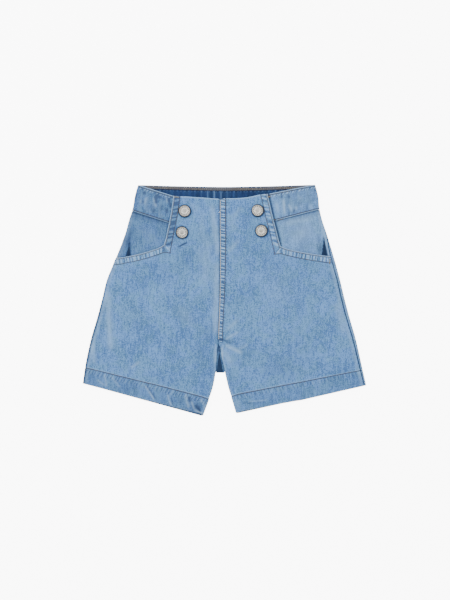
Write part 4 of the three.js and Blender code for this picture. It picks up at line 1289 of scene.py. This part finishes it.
# Painted deep shadow in the openings between the layers at the lower edge of the hems, the end of the centre
# seam and one sharp crease
HEM_OPENINGS = [
    (-51, -159, -33, -163.6, 0.7, 1.5, 0.9), (-41, -150.5, -34, -158.6, 0.6, 1.8, 0.5),
    (192.4, -124.6, 199.5, -122.6, 0.6, 0.9, 0.6), (-9.5, -56.8, -2.3, -56.8, 0.5, 0.5, 0.5),
    (-65, 75.2, -54, 80.6, 0.2, 0.8, 0.5),
]
# Small creases of the front, with their width and rise
CREASES = [
    (-66, 74.6, -52.6, 81.2, 2.2, -0.45), (-60, 70, -46, 77, 3, 0.25), (6, -62, 26, -74, 3, 0.35),
    (4, -60, 20, -64, 1.6, -0.35), (0, -66, 12, -84, 3, 0.3), (-12, -66, -20, -84, 3, 0.25),
    (-134, -98, -120, -88, 2.4, 0.3), (-70, -4, -56, -30, 7, 0.35), (-90, 30, -76, -10, 8, -0.25),
    (44, 30, 60, -20, 9, 0.3), (88, 46, 100, 8, 8, 0.25), (-186, -70, -178, -104, 3, 0.3),
    (-30, 124, -12, 70, 5, 0.3), (20, 120, 32, 84, 6, 0.25), (170, 0, 178, -60, 4, 0.25),
    (120, -84, 128, -60, 5, 0.22), (10, -34, 24, -22, 4, 0.22), (-16, -34, -30, -22, 4, 0.22),
]
# Where the buttons sit on the front, and the shadow that each one casts on the cloth to its lower right
BUTTONS = [
    ("button_left_upper", -56.8, 125.5, LEFT), ("button_left_lower", -60.6, 95.3, LEFT),
    ("button_right_upper", 47, 126.2, RIGHT), ("button_right_lower", 52.4, 97.7, RIGHT),
]
BUTTON_RADIUS = 8.45
SHADOW_SLIP = 0.35


def button_shadow(p):
    away = min(math.hypot(p.x - x - SHADOW_SLIP, p.y - y + SHADOW_SLIP) for name, x, y, side in BUTTONS)
    return 0.85 * ease(BUTTON_RADIUS + 1.8, BUTTON_RADIUS + 0.5, away)


def round_corner(side, plan):
    corner = crossing(side["pocket_line"], side["pocket_edge"]["pocket"])
    x = (plan.x - corner.x) * side["out"]
    y = plan.y - corner.y
    fill = CORNER_FILL * (1 - ease(0, 10, abs(x - y) / math.sqrt(2))) * (1 - ease(8, 26, -(x + y)))
    plan.x += side["out"] * fill * 0.7
    plan.y += fill * 0.7


def front_point(side, plan):
    round_corner(side, plan)
    plan.z = lie(plan.x, plan.y) + lift(side, plan.x, plan.y)
    return plan


def front_row(side, level, reaches_side):
    seam = crossing(centre_seam, level["seam"])
    pocket = crossing(side["pocket_line"], level["pocket"])
    across = (pocket - seam).normalized()
    seam_y = level["seam"]
    fork = ease(CROTCH_Y, CROTCH_Y - FORK_LENGTH, seam_y)
    leg_top = lie(side["inner_leg"](seam_y) + side["out"] * 4, seam_y)
    width = mix(0.7, 1, ease(-60, 100, seam_y))
    row = []
    for i, step in enumerate(SEAM_STEPS):
        scaled = step if i == 0 else step * width
        flat = front_point(side, seam + across * scaled)
        if fork > 0:
            inner_leg = side["inner_leg"]
            turned = round_edge(inner_leg, seam_y, side["out"], CLOTH, leg_top, BACK_Z, LEG_STEPS[i])
            flat = flat.lerp(turned, fork)
        row.append(flat)
    start = row[-1].copy()
    end = pocket - across * TURNED_STEPS[-1]
    for t in spaced(0, 1, MIDDLE_COLUMNS):
        plan = start.lerp(end, t)
        plan.y -= level["dip"] * 4 * t * (1 - t)
        row.append(front_point(side, plan))
    for step in reversed(TURNED_STEPS):
        row.append(front_point(side, pocket - across * step))
    if not reaches_side:
        return row + [None] * (OUTER_COLUMNS + len(SIDE_STEPS))
    side_x = side["side"](level["side"])
    course = course_to(side_x, level["side"], pocket, level["sag"])
    raised = lambda x, y: lift(side, x, y)
    edge = [side_point(side, course, step, raised=raised) for step in SIDE_STEPS]
    for t in spaced(0, 1, OUTER_COLUMNS):
        plan = pocket.lerp(edge[0], t)
        plan.y = course(abs(plan.x - side_x))
        row.append(front_point(side, plan))
    row.append(front_point(side, edge[0]))
    return row + edge[1:]


def front_panel(name, side, material):
    waist = side["waist"]
    pocket_edge = side["pocket_edge"]
    hem_stitch = side["hem_stitch"]
    hem_edge = side["hem_edge"]
    upper_shares = [0, 0.004, 0.01, 0.02] + spaced(0.02, 0.985, UPPER_ROWS) + [0.985]
    upper = [between(waist, pocket_edge, t) for t in upper_shares]
    turned = [below(pocket_edge, step) for step in TURNED_STEPS]
    leg = [between(turned[-1], hem_stitch, t) for t in spaced(0, 1, LEG_ROWS) + [0.992]]
    depth = hem_stitch["seam"] - hem_edge["seam"]
    hem_steps = [s for s in HEM_STEPS if s < depth - 0.6] + [depth - 0.4, depth]
    hem = [between(hem_stitch, hem_edge, s / depth) for s in hem_steps]
    rows = [front_row(side, level, False) for level in upper]
    rows += [front_row(side, level, True) for level in turned + leg + hem]
    first_turned = len(upper)
    first_leg = first_turned + len(turned)
    first_hem = first_leg + len(leg)
    first_pocket = len(SEAM_STEPS) + MIDDLE_COLUMNS
    pocket_end = first_pocket + len(TURNED_STEPS) - 1
    first_side = pocket_end + 1 + OUTER_COLUMNS

    for row in rows:
        for p in row:
            if p is not None:
                p.z += sum(fold_rise(crease, p.x, p.y) for crease in CREASES) * ease(3.0, 3.8, p.z)

    # How far a point is from the pocket edge along the cloth: inside the upright edge, beneath the lower one
    def from_pocket(r, c):
        inside = BEYOND if c < first_pocket else 0
        if first_pocket <= c <= pocket_end:
            inside = TURNED_STEPS[pocket_end - c]
        beneath = BEYOND if r >= first_leg else 0
        if first_turned <= r < first_leg:
            beneath = TURNED_STEPS[r - first_turned]
        return inside, beneath

    def hem_down(r, p):
        return hem_steps[r - first_hem] if r >= first_hem else (r - first_hem) * 1.6

    def thin(r, c, p):
        inside, beneath = from_pocket(r, c)
        places = [max(inside, beneath), BEYOND]
        if r < 4:
            places.append(upper_shares[r] * UPPER_LENGTH)
        if r >= first_hem:
            places.append(depth - hem_steps[r - first_hem])
        if c < 4:
            places.append(SEAM_STEPS[c] - HALF_GAP)
        if c >= first_side:
            places.append(SIDE_STEPS[c - first_side] - HALF_GAP)
        return edge_thin(min(places))

    corner = crossing(side["pocket_line"], pocket_edge["pocket"])
    mitred = lambda run, away: run - away * ease(0, 14, run)

    # The distance along the turned strip, which carries on round the corner, and the distance from its edge
    def strip_place(r, c, p):
        inside, beneath = from_pocket(r, c)
        away = float(max(inside, beneath))
        corner_at = (waist["pocket"] - corner.y) * UPRIGHT_PACE
        if beneath > inside or c > pocket_end:
            return corner_at + mitred((p.x - corner.x) * side["out"] + away, away), away
        return corner_at - mitred(p.y - corner.y + away, away) * UPRIGHT_PACE, away

    def pleated(along, away, near, far):
        uneven = pleat(along, away, PLEAT_SPACING, PLEAT_SKEW) - 0.5
        return uneven * ease(near, near + 1.2, away) * ease(far, far - 1.2, away)

    def outside(r, c, p):
        along, away = strip_place(r, c, p)
        strip = TURNED_RAISE * (1 - ease(9.9, 10.8, away)) + PLEAT_RISE * pleated(along, away, 2.0, 9.2)
        felled = 0
        seam_away = step_at(SEAM_STEPS, c)
        if side["out"] > 0 and seam_away < 12.5 and p.y > CROTCH_Y:
            felled = TURNED_RAISE * (1 - ease(9.0, 10.3, seam_away))
            felled += FELLED_RISE * pleated(p.y, seam_away, 2.0, 8.6)
            felled -= FELLED_RISE * sum(bell(seam_away - row, 0.5) for row in FELLED_ROWS)
            felled *= ease(CROTCH_Y, CROTCH_Y + 4, p.y)
        down = hem_down(r, p)
        hemmed = HEM_RAISE * ease(-1.4, 0.9, down)
        groove = 0.3 * bell(down, 0.6)
        pucker = 0
        if down > 0:
            for x, rise in HEM_PUCKERS:
                lean = p.x - x + 0.5 * (depth - down) * side["out"]
                pucker += rise * bell(lean, 3) * ease(1, 8, down)
        turned_groove = 0.18 * sum(bell(away - row, 0.5) for row in POCKET_ROWS)
        return (CLOTH / 2 + strip + felled + hemmed + pucker - groove - turned_groove) * thin(r, c, p)

    def marks(r, c, p):
        along, away = strip_place(r, c, p)
        worn, shaded = streak_marks(p)
        # dark is painted deep shadow: in the openings, the crotch gap, along the side seam and round the
        # buttons
        dark = wedge_dark(HEM_OPENINGS + CROTCH_GAP, p)
        if r < first_turned:
            worn += 0.8 * ease(1.9, 0.5, upper_shares[r] * UPPER_LENGTH)
        # Painted shade low between the legs, where their folded edges turn paler
        if p.y < -74 and c < len(LEG_STEPS):
            worn += 0.3 * ease(5.0, 1.0, LEG_STEPS[c]) * ease(2.6, 3.6, p.z)
            shaded += 0.4 * ease(3.4, 2.2, p.z)
        if r >= first_hem:
            worn += 0.4 * ease(1.6, 0.3, depth - hem_steps[r - first_hem])
            shaded += side["hem_shade"]
        if c >= first_side:
            step = SIDE_STEPS[c - first_side]
            worn += seam_fade(step)
            reach = mix(1.1, 3.2, ease(0, -30, p.y)) if side["out"] < 0 else 1.1
            dark = max(dark, 0.85 * ease(reach, 0.2, step))
        if side["out"] < 0 and c <= pocket_end and r < first_turned and 2.2 < away < 9.2:
            shaded += mix(0.28, 0.42, ease(84, 108, p.y))
            shaded += 0.5 * ease(0.55, 0.3, pleat(along, away, PLEAT_SPACING, PLEAT_SKEW))
            worn -= 0.4
        dark = max(dark, button_shadow(p))
        seam_away = step_at(SEAM_STEPS, c)
        return {
            "wear": (worn, shaded, dark),
            "pocket_edge": (along, away, 1.0),
            "centre_seam": (p.y, float(seam_away), ease(CROTCH_Y - 4, CROTCH_Y + 2, p.y)),
            "hem": (p.x, float(hem_down(r, p)), 1.0),
        }

    shell = Cloth(name, flip=side["out"] > 0)
    shell.add(rows, outside, lambda r, c, p: CLOTH / 2 * thin(r, c, p), marks)
    piece = shell.finish(material)

    shell.pocket_rows = []
    for step in POCKET_ROWS:
        bend = first_turned + TURNED_STEPS.index(step)
        c = pocket_end - TURNED_STEPS.index(step)
        upright = [(0, r, c) for r in range(1, bend + 1)]
        shell.pocket_rows.append(upright + [(0, bend, k) for k in range(c + 1, first_side + 9)])
    fork_row = max(r for r in range(len(rows)) if rows[r][0].y > CROTCH_Y)
    seam_columns = [SEAM_STEPS.index(step) for step in FELLED_ROWS]
    shell.seam_rows = [[(0, r, c) for r in range(1, fork_row + 1)] for c in seam_columns]
    shell.hem_row = [(0, first_hem, c) for c in range(2, first_side + len(SIDE_STEPS) - 1)]
    return piece, shell


POCKET_SEAM = sewn(
    "pocket_edge", 0.8, near=2.3, far=9.3, first_row=POCKET_ROWS[0], second_row=POCKET_ROWS[1],
    spacing=PLEAT_SPACING, edge_wear=1.3,
)
FELLED_SEAM = sewn(
    "centre_seam", 1.2, near=2.4, far=8.6, first_row=FELLED_ROWS[0], second_row=FELLED_ROWS[1],
    spacing=4.5, crest=0.62, dip=0.5,
)
HEM_ROW = sewn("hem", near=50.0, far=40.0, first_row=0.0, ridge=-1.5)
left_denim = denim_material(
    "front_left_denim",
    [
        POCKET_SEAM,
        HEM_ROW,
        sewn("hem", 0.55, near=1.0, far=8.0, spacing=4.6, skew=0.55, crest=0.7),
        sewn("centre_seam", 0.8, near=-2.0, far=-1.0, first_row=0.2),
    ],
    clouds=0.5,
)
right_denim = denim_material(
    "front_right_denim",
    [
        POCKET_SEAM,
        HEM_ROW,
        sewn("hem", 0.55, near=1.0, far=6.0, spacing=6.5, skew=-0.35, crest=0.75),
        FELLED_SEAM,
        sewn("centre_seam", 0.8, near=9.8, far=11.8, spacing=4.5, crest=2.0, dip=0.42),
    ],
)
front_left, front_left_shell = front_panel("front_panel_left_cloth", LEFT, left_denim)
front_right, front_right_shell = front_panel("front_panel_right_cloth", RIGHT, right_denim)
for piece, node_name in ((front_left, "front_panel_left"), (front_right, "front_panel_right")):
    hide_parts(node_name)
    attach(piece, "root")


# Stitching
# Cotton thread, tan, brown and cream, sewn as lockstitch about 3 mm long through every turned edge, the hems,
# the waistband and the centre seams, with short dense bars where a pocket or the band ends.
STITCH_PITCH = 3.0
STITCH_LENGTH = 2.45
# Rings along a stitch: where along it, how thick, and how far above the cloth
STITCH_RINGS = [
    (-0.5, 0.13, -0.1), (-0.36, 0.3, 0.12), (0.0, 0.36, 0.2), (0.36, 0.3, 0.12), (0.5, 0.13, -0.1),
]
STITCH_SIDES = 6
# How far a row stops short of the end of its path
ROW_END = 1.2
BAR_WIDTH = 2.0
BAR_PITCH = 0.42
BAR_LEAN = 0.16
PRESSED_DEPTH = 0.24
PRESSED_SIZE = 0.7
# Each thread's shade, its light side and the colour that it fades to
THREADS = {
    "tan_thread": ((0.12, 0.1, 0.075, 1), (0.24, 0.21, 0.16, 1), (0.17, 0.2, 0.24, 1)),
    "brown_thread": ((0.07, 0.05, 0.03, 1), (0.15, 0.115, 0.075, 1), (0.06, 0.065, 0.08, 1)),
    "cream_thread": ((0.48, 0.46, 0.4, 1), (0.78, 0.75, 0.66, 1), (0.4, 0.43, 0.46, 1)),
}


def thread_paint(name):
    shade, light, faded = THREADS[name]
    material, tree, shader = new_material(name, {"Roughness": 0.75, "Specular IOR Level": 0.25})
    place = place_on(tree)
    color = blended(noise(place, 900.0).eased(0.35, 0.65), shade, light)
    color = blended(noise(place, 60.0).eased(0.42, 0.62, 0.0, 0.5), color, faded)
    feed(shader.inputs["Base Color"], color)
    return material


tan_thread = thread_paint("tan_thread")
brown_thread = thread_paint("brown_thread")
cream_thread = thread_paint("cream_thread")


# Stitches on the underside are pressed into their groove, clear of the table
class Thread:
    def __init__(self, name, material):
        self.name = name
        self.material = material
        self.points = []
        self.faces = []

    def stitch(self, centre, along, up, length, size=1.0):
        sideways = up.cross(along).normalized()
        first = len(self.points)
        pressed = up.z < -0.3
        for reach, radius, rise in STITCH_RINGS:
            thick = radius * size * (PRESSED_SIZE if pressed else 1)
            rise -= PRESSED_DEPTH if pressed else 0
            for k in range(STITCH_SIDES):
                angle = 2 * math.pi * k / STITCH_SIDES
                high = up * (rise + thick * math.sin(angle))
                wide = sideways * (thick * 1.15 * math.cos(angle))
                self.points.append(centre + along * (reach * length) + high + wide)
        rings = len(STITCH_RINGS)
        for ring in range(rings - 1):
            for k in range(STITCH_SIDES):
                a = first + ring * STITCH_SIDES + k
                b = first + ring * STITCH_SIDES + (k + 1) % STITCH_SIDES
                self.faces.append((a, b, b + STITCH_SIDES, a + STITCH_SIDES))
        self.faces.append(tuple(first + k for k in reversed(range(STITCH_SIDES))))
        self.faces.append(tuple(first + (rings - 1) * STITCH_SIDES + k for k in range(STITCH_SIDES)))

    def row(self, path, pitch):
        lengths = [0.0]
        for (a, na), (b, nb) in zip(path, path[1:]):
            lengths.append(lengths[-1] + (b - a).length)
        total = lengths[-1] - 2 * ROW_END
        count = max(1, round(total / pitch))
        k = 0
        for i in range(count):
            at = ROW_END + (i + 0.5) * total / count
            while k < len(lengths) - 2 and lengths[k + 1] < at:
                k += 1
            (a, na), (b, nb) = path[k], path[k + 1]
            t = (at - lengths[k]) / max(1e-6, lengths[k + 1] - lengths[k])
            before = path[max(0, k - 1)][0]
            after = path[min(len(path) - 1, k + 2)][0]
            up = na.lerp(nb, t).normalized()
            along = (b - a) if (b - a).length > 0.8 else (after - before)
            along = (along - up * along.dot(up)).normalized()
            self.stitch(a.lerp(b, t), along, up, length=STITCH_LENGTH * total / count / pitch)

    def bar(self, centre, along, up, length):
        sideways = up.cross(along).normalized()
        for i in range(int(length / BAR_PITCH)):
            middle = centre + along * (i * BAR_PITCH - length / 2) + up * 0.05
            leaning = (sideways + along * (BAR_LEAN if i % 2 else -BAR_LEAN)).normalized()
            self.stitch(middle, leaning, up, length=BAR_WIDTH, size=0.8)

    def finish(self):
        piece = new_piece(self.name, self.points, self.faces, self.material)
        for polygon in piece.data.polygons:
            polygon.use_smooth = True
        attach(piece, "root")


# The place on the upper side of a shell nearest to a point seen from above
def surface_at(shell, x, y):
    def distance(v):
        point = shell.outer[v]
        return (point.x - x) ** 2 + (point.y - y) ** 2 + (0 if point.z > 3 else 1e6)

    best = min(range(len(shell.outer)), key=distance)
    return Vector((x, y, shell.outer[best].z)), shell.normals[best]


def bar_at(thread, shell, x, y, lean, length):
    place, up = surface_at(shell, x, y)
    thread.bar(place, Vector(lean).normalized(), up, length)


def sew(name, material, shell, rows, bars=(), pitch=STITCH_PITCH):
    thread = Thread(name, material)
    for places in rows:
        thread.row(shell.path(places), pitch=pitch)
    for x, y, lean, length in bars:
        bar_at(thread, shell, x, y, lean, length)
    thread.finish()


LEFT_BARS = [(-67.6, 145.2, (1, -0.08, 0), 7.0)]
RIGHT_BARS = [(149.5, 54.5, (0.12, 1, 0), 7.5), (62.6, 145.6, (1, 0.12, 0), 7.0)]
BAND_BARS = [(80.2, 113.8, (1, 0.25, 0), 8.0)]

sew("stitches_outer_rows_left", brown_thread, front_left_shell, front_left_shell.pocket_rows[1:])
sew("stitches_front_left", tan_thread, front_left_shell, front_left_shell.pocket_rows[:1], LEFT_BARS)
sew("stitches_hem_left", brown_thread, front_left_shell, [front_left_shell.hem_row])
outer_rows = front_right_shell.pocket_rows[1:] + front_right_shell.seam_rows[1:]
sew("stitches_outer_rows_right", brown_thread, front_right_shell, outer_rows)
sew("stitches_front_right", tan_thread, front_right_shell, front_right_shell.pocket_rows[:1], RIGHT_BARS)
sew("stitches_hem_right", brown_thread, front_right_shell, [front_right_shell.hem_row])
sew("stitches_centre_seam", cream_thread, front_right_shell, front_right_shell.seam_rows[:1], pitch=2.7)

band_span = range(4, len(band_shell.grids[0][0]) - 4)
band_rows = [[(0, BAND_DEPTH.index(down), c) for c in band_span] for down in BAND_ROWS]
sew("stitches_waistband", brown_thread, band_shell, band_rows, BAND_BARS)
facing_span = range(2, GATHERS * GATHER_STEPS - 1)
facing_rows = [[(0, FACING_ROWS.index(down), c) for c in facing_span] for down in FACING_STITCHES]
sew("stitches_band_facing", tan_thread, facing_shell, facing_rows)

back_rows = [[(0, back_left_shell.hem_row, c) for c in range(1, len(back_left_shell.grids[0][0]) - 1)]]
sew("stitches_back_left", brown_thread, back_left_shell, back_rows)
seat_span = range(1, back_right_shell.last_seat + 1)
seat_rows = [[(1, r, SEAT_SEAM_STEPS.index(step)) for r in seat_span] for step in SEAT_ROWS]
sew("stitches_back_right", brown_thread, back_right_shell, back_rows + seat_rows)


# Buttons
# Four pale nickel shank buttons, 17 mm across, riveted through the front panels beside the pocket edges. Each
# has a rolled rim, a plain ring of beads, and a raised ring round a dished centre.
NECK_RADIUS = 4.2
NECK_HEIGHT = 1.1
BUTTON_TOP = 3.0
BEADS = 14
BEAD_RADIUS = 0.74
BEAD_RING = 5.7
# How far the neck stands clear of the cloth
NECK_LIFT = 0.35
# From the outer edge to the centre: how far in each step goes, and how far up or down
BUTTON_PROFILE = [
    (0.9, 0.14), (0.5, 0.0), (0.35, -0.5), (2.0, 0.05), (0.3, 0.4), (0.5, 0.0), (0.3, -0.34), (1.3, 0.0),
    (0.4, 0.16),
]
NICKEL_SHADE = (0.78, 0.77, 0.72, 1)
NICKEL_LIGHT = (0.95, 0.94, 0.89, 1)
BUTTON_DIRT = (0.008, 0.009, 0.01, 1)


def make_metal():
    material, tree, shader = new_material("pale_nickel", {"Metallic": 0.6})
    place = place_on(tree)
    clouds = noise(place, 320.0, 4.0, 0.6)
    # Painted shade on the outer rim and dirt in the hollows darken the metal
    dirt = mark_of(tree, "recess", "Fac") * noise(place, 1400.0).eased(0.3, 0.62, 0.9, 1.0)
    color = blended(clouds.eased(0.35, 0.7), NICKEL_SHADE, NICKEL_LIGHT)
    feed(shader.inputs["Base Color"], blended(dirt, color, BUTTON_DIRT))
    rough = value(tree, "MapRange", {"Value": clouds, "To Min": 0.34, "To Max": 0.52}, output="Result")
    feed(shader.inputs["Roughness"], rough)
    return material


nickel = make_metal()


# Select the one face that is highest, so that the next inset works on it
def select_top(mesh):
    bpy.ops.object.mode_set(mode="OBJECT")
    top = max(mesh.polygons, key=lambda f: f.center.z - f.center.xy.length * 10 + (f.normal.z > 0.9) * 100)
    for part in (mesh.vertices, mesh.edges, mesh.polygons):
        part.foreach_set("select", [False] * len(part))
    top.select = True
    bpy.ops.object.mode_set(mode="EDIT")
    bpy.ops.mesh.select_mode(type="FACE")


def make_button(name, x, y, side):
    thick = BUTTON_TOP - NECK_HEIGHT - 0.1
    top = thick / 2
    bpy.ops.object.select_all(action="DESELECT")
    bpy.ops.mesh.primitive_cylinder_add(vertices=48, radius=BUTTON_RADIUS, depth=thick, location=(0, 0, 0))
    button = bpy.context.object
    button.name = name
    mesh = button.data
    bpy.ops.object.mode_set(mode="EDIT")
    select_top(mesh)
    for inset, rise in BUTTON_PROFILE:
        bpy.ops.mesh.inset(thickness=inset, depth=rise)
    bpy.ops.object.mode_set(mode="OBJECT")
    bevel = button.modifiers.new("soft_edges", "BEVEL")
    bevel.width = 0.1
    bevel.segments = 2
    bevel.limit_method = "ANGLE"
    bevel.angle_limit = math.radians(28)
    bpy.ops.object.modifier_apply(modifier=bevel.name)
    parts = [button]
    neck_z = -top - NECK_HEIGHT / 2 + 0.02
    bpy.ops.mesh.primitive_cylinder_add(
        vertices=24, radius=NECK_RADIUS, depth=NECK_HEIGHT, location=(0, 0, neck_z)
    )
    parts.append(bpy.context.object)
    bead_z = top - 0.36
    bpy.ops.mesh.primitive_uv_sphere_add(
        segments=8, ring_count=5, radius=BEAD_RADIUS, location=(BEAD_RING, 0, bead_z)
    )
    bead = bpy.context.object
    bead.scale = (1, 1, 0.7)
    parts.append(bead)
    for k in range(1, BEADS):
        copy = bead.copy()
        copy.data = bead.data.copy()
        angle = 2 * math.pi * k / BEADS
        copy.location = (BEAD_RING * math.cos(angle), BEAD_RING * math.sin(angle), bead_z)
        bpy.context.scene.collection.objects.link(copy)
        parts.append(copy)
    bpy.ops.object.select_all(action="DESELECT")
    for part in parts:
        part.select_set(True)
    bpy.context.view_layer.objects.active = button
    bpy.ops.object.join()
    button.data.materials.clear()
    button.data.materials.append(nickel)
    # The outer rim gets painted shade, the hollows dirt, and the centre a greyer tone
    recess = button.data.attributes.new("recess", "FLOAT", "POINT")
    values = []
    for vertex in button.data.vertices:
        out = vertex.co.xy.length
        deep = ease(top - 0.1, top - 0.34, vertex.co.z) * (0.85 if out > NECK_RADIUS else 0.65)
        rim = ease(BUTTON_RADIUS - 1.5, BUTTON_RADIUS - 1.0, out)
        values.append(max(rim, deep, 0.62 * ease(2.8, 2.2, out)))
    recess.data.foreach_set("value", values)
    surface = lambda px, py: lie(px, py) + lift(side, px, py) + CLOTH / 2
    slope_x = (surface(x + NECK_RADIUS, y) - surface(x - NECK_RADIUS, y)) / (2 * NECK_RADIUS)
    slope_y = (surface(x, y + NECK_RADIUS) - surface(x, y - NECK_RADIUS)) / (2 * NECK_RADIUS)
    up = Vector((-slope_x, -slope_y, 1)).normalized()
    place = Vector((x, y + ORIGIN_Y, surface(x, y))) + up * (NECK_LIFT + NECK_HEIGHT + top)
    for vertex in button.data.vertices:
        vertex.co = (up.to_track_quat("Z", "Y") @ vertex.co + place) * MM
    bpy.ops.object.shade_smooth_by_angle(angle=math.radians(35))
    return button


for name, x, y, side in BUTTONS:
    button = make_button(name + "_detailed", x, y, side)
    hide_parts(name)
    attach(button, "root")

boxes = {"cad": cad_box, "visual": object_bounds()}
{key: [list(corner) for corner in box] for key, box in boxes.items()}
